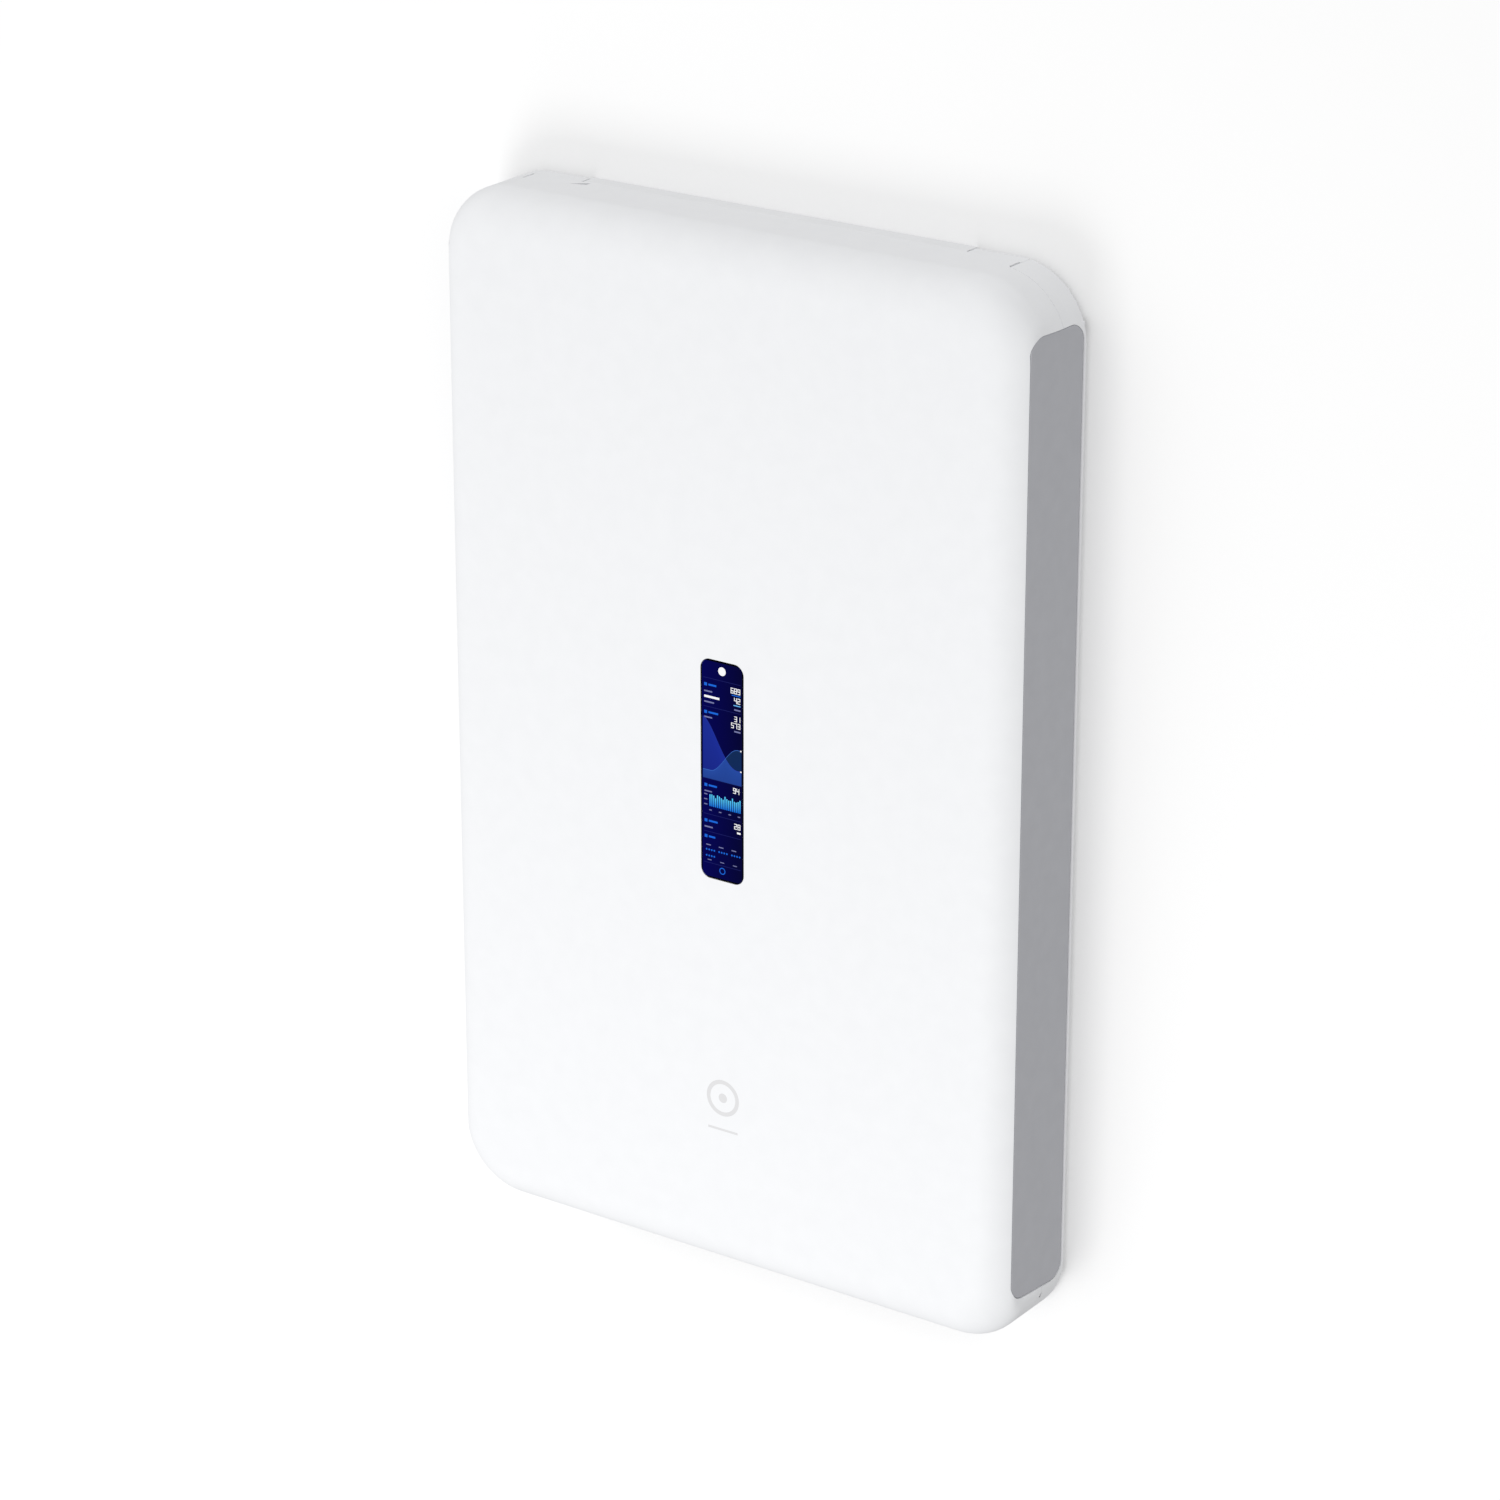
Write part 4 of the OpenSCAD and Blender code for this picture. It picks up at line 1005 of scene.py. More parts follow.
@dataclass
class SidePlane:
    """The plane of one leaning side, and what lies in it.

    Attributes:
        case: The case's form.
        right: Whether it is the right side.
        panel: Depth, height and corner radius of the side panel.
        panel_t: Thickness of the panel.
        lip: Width of the white lip behind the panel.
        gap: Gap round the panel.
        sunk: How far the panel's face lies under the side's skin.
        ring: Thickness and border of the ring behind the panel.
        mouth: Radius of the rounded lip round the window.
    """

    case: CaseForm
    right: bool
    panel: tuple[float, float, float] = (37.2 * MM, 460 * MM, 8 * MM)
    panel_t: float = 1.2 * MM
    lip: float = 1.1 * MM
    gap: float = 0.3 * MM
    sunk: float = 0.7 * MM
    ring: tuple[float, float] = (2 * MM, 5 * MM)
    mouth: float = 0.45 * MM

    def place(self, rings: Array) -> Array:
        """Puts rings of (depth along the side, height, distance out) on the side.

        With t the lean's angle, X = x0 + out cos t + back sin t and Y = y0 - out sin t +
        back cos t, mirrored for the left side.

        Args:
            rings: Points with the plate's depth, height and distance out.

        Returns:
            Points in the frame.
        """
        low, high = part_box("side_panel_right")
        angle = math.atan(self.case.slope)
        y_back = self.case.y_back - self.lip - self.gap
        y0 = y_back - self.panel[0] * math.cos(angle)
        x0 = self.case.width / 2 - self.sunk - (self.case.y_back - y0) * self.case.slope
        back = rings[..., 0] + self.panel[0] / 2
        out = rings[..., 2]
        x = x0 + out * math.cos(angle) + back * math.sin(angle)
        y = y0 - out * math.sin(angle) + back * math.cos(angle)
        z = rings[..., 1] + (low.z + high.z) / 2
        return np.stack([x if self.right else -x, y, z], -1)

    def window(self) -> MeshParts:
        """The cutter for the panel's window, which widens round its mouth.

        Returns:
            A closed surface that reaches past the ring inside and past the skin outside.
        """
        past_ring, past_skin = 1.5 * MM, 8 * MM
        angle = np.linspace(0, math.pi / 2, 7)
        top = self.sunk - self.mouth
        grow = self.gap + self.mouth * (1 - np.cos(angle))
        out = top + self.mouth * np.sin(angle)
        deep = -self.panel_t - self.ring[0] - past_ring
        mouth = np.stack([-grow, out], -1)
        profile = np.concatenate([[[-self.gap, deep]], mouth, [[-grow[-1], past_skin]]])
        parts = MeshParts()
        parts.grid(self.place(plate_rings(*self.panel, profile)))
        return parts

    def plate(self, edge: float = 0.3 * MM) -> MeshParts:
        """The side panel: a plate with rounded edges.

        Args:
            edge: Radius of its edges.

        Returns:
            Its surface.
        """
        rim = rounded_edge(0.0, -self.panel_t, 0.0, edge)
        parts = MeshParts()
        parts.grid(self.place(plate_rings(*self.panel, rim)))
        return parts

    def backing(self, parts: MeshParts) -> None:
        """Adds the ring behind the panel: a flat frame that the panel is glued to.

        Args:
            parts: The surfaces that it is added to.
        """
        grow, border = self.gap, self.ring[1]
        back, front = -self.panel_t - self.ring[0], -self.panel_t
        profile = np.array([[-grow, back], [-grow, front], [border, front], [border, back]])
        parts.grid(self.place(plate_rings(*self.panel, profile)), ring_rows=True)


@dataclass
class Case:
    """The white case: cover, rear corner frames and side panels.

    Attributes:
        form: The case's form.
        seam_x: Where a side frame begins, from the middle.
        seam_y: How deep a side frame reaches from the back.
        seam: Gap between the cover and a side frame.
        latch: Corners of the latch window beside the flange, in millimetres.
        slit: Width, front end and rear end of the slit beside a seam.
        notch: Gap beside the flange, front end and depth of the notch in the top.
        bay: Half width, front end and depth of the cable bay's mouth.
        lug: Inner end, distance of the outer end from the side, and half height of a lug.
        lug_y: Distances of a lug's front and rear from the back.
        strip: Inner end, distance from the side, thickness, foot and top of the strip
            behind the lip.
    """

    form: CaseForm = field(default_factory=CaseForm)
    seam_x: float = 132.5 * MM
    seam_y: float = 16 * MM
    seam: float = 0.12 * MM
    latch: tuple[tuple[float, float], ...] = ((-107.5, -15.4), (-99.5, -12.8), (-99.5, -9.2))
    slit: tuple[float, float, float] = (1.0 * MM, -18.0 * MM, -9.6 * MM)
    notch: tuple[float, float, float] = (1 * MM, -9 * MM, 13.5 * MM)
    bay: tuple[float, float, float] = (116 * MM, -36.2 * MM, 3.5 * MM)
    lug: tuple[float, float, float] = (146 * MM, 3.2 * MM, 7 * MM)
    lug_y: tuple[float, float] = (4.5 * MM, 2.5 * MM)
    strip: tuple[float, ...] = (157.4 * MM, 1.25 * MM, 1.1 * MM, -228.5 * MM, 231.5 * MM)

    def zone(self, right: bool, gap: float) -> MeshParts:
        """The box that holds one rear corner frame.

        Args:
            right: Whether it is the right one.
            gap: How far the box keeps from the cover.

        Returns:
            The box.
        """
        half, tall = self.form.width / 2 + PAST, self.form.height / 2 + PAST
        low_x, high_x = self.span(right, self.seam_x + gap, half)
        front = self.form.y_back - self.seam_y + gap
        parts = MeshParts()
        parts.box((low_x, front, -tall), (high_x, self.form.y_back + PAST, tall))
        return parts

    @staticmethod
    def span(right: bool, inner: float, outer: float) -> tuple[float, float]:
        """Returns a reach from inner to outer on one side, the lower end first."""
        return (inner, outer) if right else (-outer, -inner)

    def build_cover(self) -> bpy.types.Object:
        """Builds the front cover: the shell less its windows, notch, bay mouth and corners.

        Returns:
            The piece.
        """
        made = Piece.plain("cover_shell", self.form.shell())
        for right in (True, False):
            Piece.cut(made, self.zone(right, 0.0))
            Piece.cut(made, SidePlane(self.form, right).window())
        low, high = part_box("wall_bracket")
        top, behind = self.form.height / 2, self.form.y_back + PAST
        gap, notch_y, notch_deep = self.notch
        bay, bay_y, bay_deep = self.bay
        cuts = MeshParts()
        cuts.box((low.x - gap, notch_y, top - notch_deep), (high.x + gap, behind, top + PAST))
        cuts.box((-bay, bay_y, -top - PAST), (bay, behind, -top + bay_deep))
        Piece.cut(made, cuts)
        Piece.cut(made, self.small_windows(top))
        return Piece.dress(made, COVER_PLASTIC, "unit", "cover_plastic", ["front_cover"])

    def small_windows(self, top: float) -> MeshParts:
        """The cutters for the small openings in the top face.

        Args:
            top: Height of the top face.

        Returns:
            A three-sided window left of the flange, and a slit beside each frame's seam.
        """
        parts = MeshParts()
        plan = np.array(self.latch) * MM
        heights = (top - 3 * MM, top + PAST)
        parts.grid(np.stack([np.column_stack([plan, np.full(3, z)]) for z in heights]))
        slit, y_front, y_rear = self.slit
        for x in (self.seam_x - slit, -self.seam_x):
            parts.box((x, y_front, top - PAST), (x + slit, y_rear, top + PAST))
        return parts

    def build_frame(self, right: bool) -> bpy.types.Object:
        """Builds one side frame: the rear corner, the ring behind the panel and the lugs.

        Args:
            right: Whether it is the right one.

        Returns:
            The piece.
        """
        side = "right" if right else "left"
        plane = SidePlane(self.form, right)
        made = Piece.plain(f"corner_{side}", self.form.shell())
        Piece.cut(made, self.zone(right, self.seam), "INTERSECT")
        Piece.cut(made, plane.window())
        parts = MeshParts()
        points = np.array([vertex.co for vertex in made.data.vertices])
        parts.add(points, [list(face.vertices) for face in made.data.polygons], closed=False)
        plane.backing(parts)
        back, half = self.form.y_back, self.form.width / 2
        inner, outer = self.span(right, self.lug[0], half - self.lug[1])
        front, rear, tall = back - self.lug_y[0], back - self.lug_y[1], self.lug[2]
        for z in LUG_HEIGHTS:
            parts.box((inner, front, z - tall), (outer, rear, z + tall), 0.4 * MM)
        inner, outer = self.span(right, self.strip[0], half - self.strip[1])
        parts.box((inner, back - self.strip[2], self.strip[3]), (outer, back, self.strip[4]))
        bpy.data.objects.remove(made)
        name, node = f"side_frame_shell_{side}", f"side_frame_{side}"
        return Piece.make(name, parts, FRAME_PLASTIC, "unit", "cover_plastic", [node])

    def build(self) -> None:
        """Builds the whole case."""
        self.build_cover()
        for right in (True, False):
            side = "right" if right else "left"
            self.build_frame(right)
            plate, node = SidePlane(self.form, right).plate(), f"side_panel_{side}"
            Piece.make(
                f"side_plate_{side}", plate, PANEL_SATIN, "unit", "side_panel_finish", [node]
            )


# --- the display -------------------------------------------------------------------------

WHITE_MARK = linear(250, 250, 252)
GREY_MARK = linear(120, 124, 170)
BLUE_MARK = linear(30, 104, 220)
PALE_BLUE = linear(110, 190, 255)
SEGMENTS = {
    "top": (0.0, 1.0, 1.0, 1.0), "middle": (0.0, 0.5, 1.0, 0.5), "foot": (0.0, 0.0, 1.0, 0.0),
    "left": (0.0, 0.5, 0.0, 1.0), "right": (1.0, 0.5, 1.0, 1.0),
    "low_left": (0.0, 0.0, 0.0, 0.5), "low_right": (1.0, 0.0, 1.0, 0.5),
}
DIGITS = (
    "top left right low_left low_right foot",
    "right low_right",
    "top right middle low_left foot",
    "top right middle low_right foot",
    "left right middle low_right",
    "top left middle low_right foot",
    "top left middle low_left low_right foot",
    "top right low_right",
    "top left right middle low_left low_right foot",
    "top left right middle low_right foot",
)


@dataclass
class Display:
    """The upright display: its cover glass and the lit marks on its screen.

    Lengths are in millimetres from the glass's centre, as on a drawing.

    Attributes:
        glass: Width, height, corner radius and thickness of the glass.
        edge: Radius of the glass's edges.
        parts: The lit marks gathered so far.
    """

    glass: tuple[float, float, float, float] = (23.8 * MM, 108 * MM, 5 * MM, 1.2 * MM)
    edge: float = 0.25 * MM
    parts: MeshParts = field(default_factory=MeshParts)

    def __post_init__(self) -> None:
        """Reads the glass's front from the frame."""
        self.y_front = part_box("display_glass")[0].y

    def build_glass(self) -> None:
        """Builds the glass: a plate with rounded edges."""
        width, height, radius, thick = self.glass
        front = 0.05 * MM
        rings = plate_rings(width, height, radius, rounded_edge(0.0, thick, front, self.edge))
        parts = MeshParts()
        parts.grid(np.stack([rings[..., 0], rings[..., 2] + self.y_front, rings[..., 1]], -1))
        Piece.make("display_face", parts, SCREEN_GLASS, "unit", "display_glass", ["display_glass"])

    def flat(self, across: Array, up: Array, tint: Array, layer: int = 0) -> None:
        """Adds a flat lit patch, given as a grid of places in millimetres.

        Args:
            across: Places to the right, as (row, column).
            up: Places upwards.
            tint: One colour, or a colour for each place.
            layer: Higher layers lie in front.
        """
        depth = self.y_front + (0.035 - 0.006 * layer) * MM
        grid = np.stack([across * MM, np.full(across.shape, depth), up * MM], -1)
        if np.ndim(tint) == 3:
            tint = tint.reshape(-1, 3)
        rows, columns = across.shape
        index = np.arange(rows * columns).reshape(rows, columns)
        corners = [index[:-1, :-1], index[:-1, 1:], index[1:, 1:], index[1:, :-1]]
        quads = np.stack(corners, -1).reshape(-1, 4)
        first = grid.reshape(-1, 3)[quads[0]]
        if np.cross(first[1] - first[0], first[3] - first[0])[1] > 0:
            quads = quads[:, ::-1]
        self.parts.add(grid, quads.tolist(), closed=False, tint=tint)

    def bar(
        self, x0: float, x1: float, z: float, tall: float, tint: Colour, layer: int = 1
    ) -> None:
        """Adds a flat bar.

        Args:
            x0: Its left end.
            x1: Its right end.
            z: Height of its middle.
            tall: How tall it is.
            tint: Its colour.
            layer: Higher layers lie in front.
        """
        across, up = np.meshgrid(np.linspace(x0, x1, 3), [z - tall / 2, z + tall / 2])
        self.flat(across, up, tint, layer)

    def dot(
        self, x: float, z: float, radius: float, tint: Colour, hole: float = 0.0, layer: int = 2
    ) -> None:
        """Adds a disc, or a ring: x + r cos a, z + r sin a.

        Args:
            x: Its middle, to the right.
            z: Height of its middle.
            radius: Its radius.
            tint: Its colour.
            hole: Inner radius of a ring.
            layer: Higher layers lie in front.
        """
        angle = np.linspace(0, 2 * math.pi, 25)
        ray = np.array([[max(hole, 0.02)], [radius]])
        self.flat(x + ray * np.cos(angle), z + ray * np.sin(angle), tint, layer)

    def number(self, value: str, right: float, z: float, tall: float, tint: Colour) -> None:
        """Adds a number in seven-stroke digits that ends at the right.

        Args:
            value: The digits.
            right: Where the last digit ends.
            z: Height of the number's middle.
            tall: Height of a digit.
            tint: The colour.
        """
        wide, pitch = tall * 0.5, tall * 0.78
        ends = np.array([-0.08, 0.08]) * tall
        for place, digit in enumerate(reversed(value)):
            x0 = right - wide - place * pitch
            for name in DIGITS[int(digit)].split():
                x_low, z_low, x_high, z_high = SEGMENTS[name]
                x = x0 + np.array([x_low, x_high]) * wide + ends
                up = z + (np.array([z_low, z_high]) - 0.5) * tall + ends
                self.flat(*np.meshgrid(x, up), tint, 3)

    def row(self, z: float, tint: Colour, length: float = 6.6) -> None:
        """Adds a row's sign, a small tile, and the bar that stands for its name.

        Args:
            z: Height of the row.
            tint: Colour of both.
            length: Length of the bar.
        """
        self.bar(-10.0, -8.4, z, 1.5, tint, 2)
        self.bar(-7.6, -7.6 + length, z, 0.9, tint, 2)

    def curve_area(
        self, x: Array, top: Array, foot: float, high: Colour, low: Colour, layer: int
    ) -> None:
        """Fills the area between a curve and its foot, fading from high to low.

        Args:
            x: Places along the curve.
            top: The curve's height at each.
            foot: Height of the foot.
            high: Colour at the curve.
            low: Colour at the foot.
            layer: Higher layers lie in front.
        """
        share = np.linspace(0, 1, 7)[:, None]
        up = foot + (top - foot) * share
        across = np.broadcast_to(x, up.shape)
        tint = np.array(low) + (np.array(high) - np.array(low)) * share[..., None]
        self.flat(across, up, np.broadcast_to(tint, (*up.shape, 3)), layer)

    def curve_line(self, x: Array, top: Array, thick: float, tint: Colour, layer: int) -> None:
        """Draws a curve as a line.

        Args:
            x: Places along the curve.
            top: The curve's height at each.
            thick: Height of the line.
            tint: Its colour.
            layer: Higher layers lie in front.
        """
        up = np.stack([top - thick / 2, top + thick / 2])
        self.flat(np.broadcast_to(x, up.shape), up, tint, layer)

    def build_head(self) -> None:
        """Adds the dot at the top, the two numbers' rows and the parting lines."""
        self.dot(0, 49.3, 2.1, WHITE_MARK)
        for z in (44.7, 30.7, -22.3, -31.0, -46.5):
            self.bar(-10.4, 10.4, z, 0.18, linear(36, 40, 110), 1)
        self.row(41.5, BLUE_MARK, 4.4)
        self.bar(-10, -5.5, 38.2, 0.7, GREY_MARK)
        self.bar(-10, -1.5, 35.6, 1.1, WHITE_MARK)
        self.bar(-10, -4.5, 33.0, 0.7, GREY_MARK)
        self.number("689", 10.0, 41.3, 2.4, WHITE_MARK)
        self.bar(5.4, 10.3, 39.1, 0.45, BLUE_MARK)
        self.number("42", 10.0, 36.7, 2.4, WHITE_MARK)
        self.bar(6.4, 10.3, 34.3, 0.45, PALE_BLUE)
        self.bar(6.8, 10.3, 32.2, 0.7, GREY_MARK)

    def build_graph(self) -> None:
        """Adds the traffic graph: a hump that falls to the right and a curve that rises.

        With s from 0 at the left edge to 1 at the right, the hump is 2.4 + 23.1 times half
        of 1 + cos(pi (s / 0.9)^0.85), and the rise is -0.4 + 13 u^2 (3 - 2 u) where u is
        (s - 0.2) / 0.7; s / 0.9 and u are held between 0 and 1.
        """
        self.row(28.0, BLUE_MARK, 5.4)
        self.bar(-10, -5.6, 25.5, 0.7, GREY_MARK)
        self.number("31", 10.0, 27.7, 2.3, WHITE_MARK)
        self.number("573", 10.0, 24.4, 2.3, WHITE_MARK)
        self.bar(6.8, 10.3, 21.6, 0.7, GREY_MARK)
        share = np.linspace(0, 1, 61)
        x = -10.8 + 21.6 * share
        hump = 2.4 + 11.55 * (1 + np.cos(math.pi * np.clip(share / 0.9, 0, 1) ** 0.85))
        climb = np.clip((share - 0.2) / 0.7, 0, 1)
        rise = -0.4 + 13 * climb**2 * (3 - 2 * climb)
        foot = -4.7
        self.curve_area(x, hump, foot, linear(28, 46, 150), linear(24, 38, 132), 0)
        self.curve_area(x, rise, foot, linear(18, 44, 86), linear(16, 40, 92), 1)
        self.curve_area(
            x, np.minimum(hump, rise), foot, linear(38, 74, 160), linear(34, 66, 146), 2
        )
        self.curve_line(x, hump, 0.24, linear(44, 60, 170), 3)
        self.curve_line(x, rise, 0.28, linear(58, 104, 190), 4)
        self.bar(-10.8, 10.8, foot, 0.2, linear(20, 30, 90), 3)
        self.dot(10.5, rise[-1], 0.4, WHITE_MARK, layer=5)
        self.dot(10.5, hump[-1], 0.4, WHITE_MARK, layer=5)

    def build_bars(self) -> None:
        """Adds the 17 bars, cyan above and blue below, with their small scale marks."""
        self.row(-8.0, BLUE_MARK, 4.6)
        self.bar(-10, -5.8, -11.0, 0.6, GREY_MARK)
        self.number("94", 9.4, -7.6, 2.4, WHITE_MARK)
        low, high = np.array(linear(20, 116, 232)), np.array(linear(92, 212, 255))
        for number in range(17):
            x0 = -7.2 + number * 1.055
            top = -12.7 + 0.75 * math.sin(number * 1.7) + 0.3 * math.cos(number * 3.1)
            across, up = np.meshgrid([x0, x0 + 0.62], np.linspace(-18.2, top, 5))
            share = np.linspace(0, 1, 5)[:, None, None]
            self.flat(across, up, np.broadcast_to(low + (high - low) * share, (5, 2, 3)), 2)
        for z in (-12.6, -15.1, -17.6):
            self.bar(-10.2, -8.4, z, 0.5, GREY_MARK)
        for x in (-6.6, -1.2, 4.2, 9.4):
            self.bar(x - 0.7, x + 0.7, -20.1, 0.5, GREY_MARK)

    def build_foot(self) -> None:
        """Adds the two lower rows, the port dots and the ring at the bottom."""
        self.row(-25.6, BLUE_MARK, 5.0)
        self.bar(-10, -5.4, -28.7, 0.7, GREY_MARK)
        self.number("28", 10.0, -25.2, 2.4, WHITE_MARK)
        self.bar(8.3, 10.3, -28.2, 0.9, WHITE_MARK)
        self.row(-33.4, BLUE_MARK, 3.6)
        for x0, z in ((-8.9, -40.0), (-8.9, -43.0), (-1.8, -40.0), (5.4, -40.0)):
            for step in range(4):
                self.dot(x0 + step * 1.45, z, 0.46, BLUE_MARK)
            self.bar(x0 - 0.2, x0 + 2.4, -37.6, 0.5, GREY_MARK)
            self.bar(x0 + 0.6, x0 + 2.8, -45.0, 0.4, GREY_MARK)
        self.dot(0, -49.2, 1.7, BLUE_MARK, hole=1.25)

    def build(self) -> None:
        """Builds the glass and all its marks."""
        self.build_glass()
        self.build_head()
        self.build_graph()
        self.build_bars()
        self.build_foot()
        Piece.make("display_marks", self.parts, SCREEN_MARKS, "unit", "display_glass")


# --- fixings, feet and the reset button --------------------------------------------------


@dataclass
class Screw:
    """A pan-head screw with a cross recess, drawn along Z with its head's top at 0.

    Attributes:
        radius: Radius of the thread.
        head: Radius and height of the head.
        length: Length below the head.
        pitch: Pitch of the thread's grooves.
    """

    radius: float
    head: tuple[float, float]
    length: float
    pitch: float = 0.6 * MM

    def surface(self) -> Array:
        """The closed surface: domed head with its recess, then the grooved shank.

        The head falls by 0.35 h (r/R)^2. The recess is as deep as half the head where the
        smaller of |x| and |y| is under 0.16 R and the larger under 0.62 R. The shank's
        radius is r - 0.12 r sin(2 pi z / pitch), so that the grooves show.

        Returns:
            Points as (row, side, 3).
        """
        sides = 48
        wide, tall = self.head
        ray = np.concatenate([np.linspace(0.02, 0.68, 12), np.linspace(0.74, 1.0, 4)]) * wide
        angle = np.arange(sides) * 2 * math.pi / sides
        x, y = ray[:, None] * np.cos(angle), ray[:, None] * np.sin(angle)
        narrow, far = np.minimum(np.abs(x), np.abs(y)), np.maximum(np.abs(x), np.abs(y))
        inside = 1 / (1 + np.exp((narrow - 0.16 * wide) / (0.02 * wide)))
        inside /= 1 + np.exp((far - 0.62 * wide) / (0.03 * wide))
        top = -0.35 * tall * (ray[:, None] / wide) ** 2 - 0.5 * tall * inside
        head = np.stack([x, y, top], -1)
        steps = max(10, int(self.length / self.pitch * 4))
        z = -np.linspace(tall, tall + self.length, steps)
        grooves = self.radius * (0.94 + 0.06 * np.sin(2 * math.pi * z / self.pitch))
        shank = np.stack([grooves, z], -1)
        rim = [[wide, -tall * 0.85], [wide * 0.97, -tall], [self.radius, -tall]]
        point = [[self.radius * 0.6, z[-1] - 0.3 * self.radius]]
        lower = np.concatenate([rim, shank, point])
        return np.concatenate([head, revolve(lower, sides)])


def along_y(points: Array, x: float, y: float, z: float, forwards: bool) -> Array:
    """Turns a surface drawn along Z so that its top faces the wall, or the front.

    Args:
        points: The surface's points.
        x: Place of its axis to the right.
        y: Depth of its top.
        z: Height of its axis.
        forwards: Whether its top faces the front.

    Returns:
        Points in the frame.
    """
    sign = -1.0 if forwards else 1.0
    return np.stack([x + points[..., 0], y + sign * points[..., 2], z + sign * points[..., 1]], -1)


def mirrored(across: float, heights: Sequence[float]) -> Places:
    """Returns places left and right of the middle at each height."""
    return tuple((x, z) for x in (-across, across) for z in heights)


@dataclass
class Fixings:
    """All screws, the rubber feet and pads, and the reset button.

    Attributes:
        cover_places: Places of the screws that hold the housing to the cover.
        lug_places: Places of the side frames' screws.
        foot_places: Places of the rubber bumpers.
    """

    cover_places: Places = mirrored(0.1435, (-0.228, 0.0, 0.228))
    lug_places: Places = mirrored(0.152, LUG_HEIGHTS)
    foot_places: Places = mirrored(0.1385, (-0.195, 0.195))

    def screws(self, name: str, node: str, places: Places, screw: Screw) -> None:
        """Builds a set of screws that stand for a node.

        Args:
            name: The piece's name.
            node: The node, whose box gives how far out the heads stand.
            places: The screws' places.
            screw: The screw.
        """
        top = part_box(node)[1].y
        parts = MeshParts()
        for x, z in places:
            parts.grid(along_y(screw.surface(), x, top, z, False))
        Piece.make(name, parts, SCREW_ZINC, "unit", "screw_steel", [node], smooth=50)

    def discs(self, name: str, node: str, places: Places, radius: float, body: str) -> None:
        """Builds rubber discs: a flat foot whose face is a shallow dish with three rings.

        Args:
            name: The piece's name.
            node: The node that they stand for.
            places: Their places.
            radius: Their radius.
            body: The body that they ride on.
        """
        low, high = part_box(node)
        tall = high.y - low.y
        ray = np.linspace(0.02, 0.86, 40)
        face = np.stack([ray, -0.04 * (1 + np.cos(6 * math.pi * ray))], -1)
        turn = np.linspace(0, math.pi / 2, 6)
        rim = np.stack([0.88 + 0.12 * np.sin(turn), -0.3 * (1 - np.cos(turn))], -1)
        profile = np.concatenate([face, rim, [[1, -1], [0.05, -1]]]) * [radius, tall]
        parts = MeshParts()
        for x, z in places:
            parts.grid(along_y(revolve(profile), x, high.y, z, False))
        Piece.make(name, parts, RUBBER, body, "rubber", [node], smooth=50)

    def flange_trim(self, edge: float = 0.85 * MM, reach: float = 0.9 * MM) -> None:
        """Builds the rounded bead along the front of the bracket's flange.

        The bead's section is flat behind and turns over its front edge in a quarter circle.

        Args:
            edge: Radius of its front edge.
            reach: How far it stands out in front of the flange.
        """
        low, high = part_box("wall_bracket")
        turn = np.linspace(0, math.pi / 2, 9)
        y_root = -8 * MM
        y, z = y_root - reach + edge * (1 - np.sin(turn)), high.z - edge * (1 - np.cos(turn))
        top = np.stack([y, z], -1)
        foot = np.array([[y_root - reach, high.z - 1.5 * MM], [y_root, high.z - 1.5 * MM]])
        section = np.concatenate([[[y_root, high.z]], top, foot])
        stations = np.linspace(low.x, high.x, 9)
        rows = [np.column_stack([np.full(len(section), x), section]) for x in stations]
        parts = MeshParts()
        parts.grid(np.stack(rows))
        Piece.make("flange_trim", parts, BRACKET_PAINT, "bracket", "bracket_steel")

    def button(self) -> None:
        """Builds the reset button: a pin with a dished tip and a collar, pointing down."""
        low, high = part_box("reset_button")
        x, y = (low.x + high.x) / 2, (low.y + high.y) / 2
        tall, wide = high.z - low.z, (high.x - low.x) / 2
        ray = np.linspace(0.02, 0.8, 8) * 2 * MM
        dish = 0.15 * MM * (1 - (ray / (1.6 * MM)) ** 2)
        turn = np.linspace(0, math.pi / 2, 5)
        rim = np.stack([1.6 * MM + 0.4 * MM * np.sin(turn), 0.4 * MM * (1 - np.cos(turn))], -1)
        collar = wide - 0.2 * MM
        rest = [
            [2 * MM, 3.35 * MM], [collar, 3.4 * MM], [wide, 3.6 * MM], [wide, 4.4 * MM],
            [collar, 4.6 * MM], [2 * MM, 4.65 * MM], [2 * MM, tall - 0.2 * MM],
            [1.8 * MM, tall], [0.1 * MM, tall],
        ]
        surface = revolve(np.concatenate([np.stack([ray, dish], -1), rim, rest]))
        parts = MeshParts()
        parts.grid(surface + np.array([x, y, low.z]))
        Piece.make(
            "reset_pin", parts, BLACK_PLASTIC, "reset_button", "black_plastic", ["reset_button"],
            smooth=50,
        )

    def build(self) -> None:
        """Builds every screw, foot, pad and the button."""
        long = Screw(1.5 * MM, (2.8 * MM, 1.4 * MM), 11 * MM)
        short = Screw(1.5 * MM, (2.8 * MM, 1.1 * MM), 3.2 * MM)
        self.screws("cover_screw_set", "housing_screws", self.cover_places, long)
        self.screws("lug_screw_set", "side_frame_screws", self.lug_places, short)
        self.discs("bumper_feet", "wall_bumpers", self.foot_places, 7 * MM, "unit")
        low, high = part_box("bracket_pads")
        reach = 6 * MM
        heights = (low.z + reach, high.z - reach)
        pads = tuple((x, z) for x in (low.x + reach, high.x - reach) for z in heights)
        self.discs("pad_discs", "bracket_pads", pads, reach, "bracket")
        self.flange_trim()
        self.button()


# --- fans --------------------------------------------------------------------------------


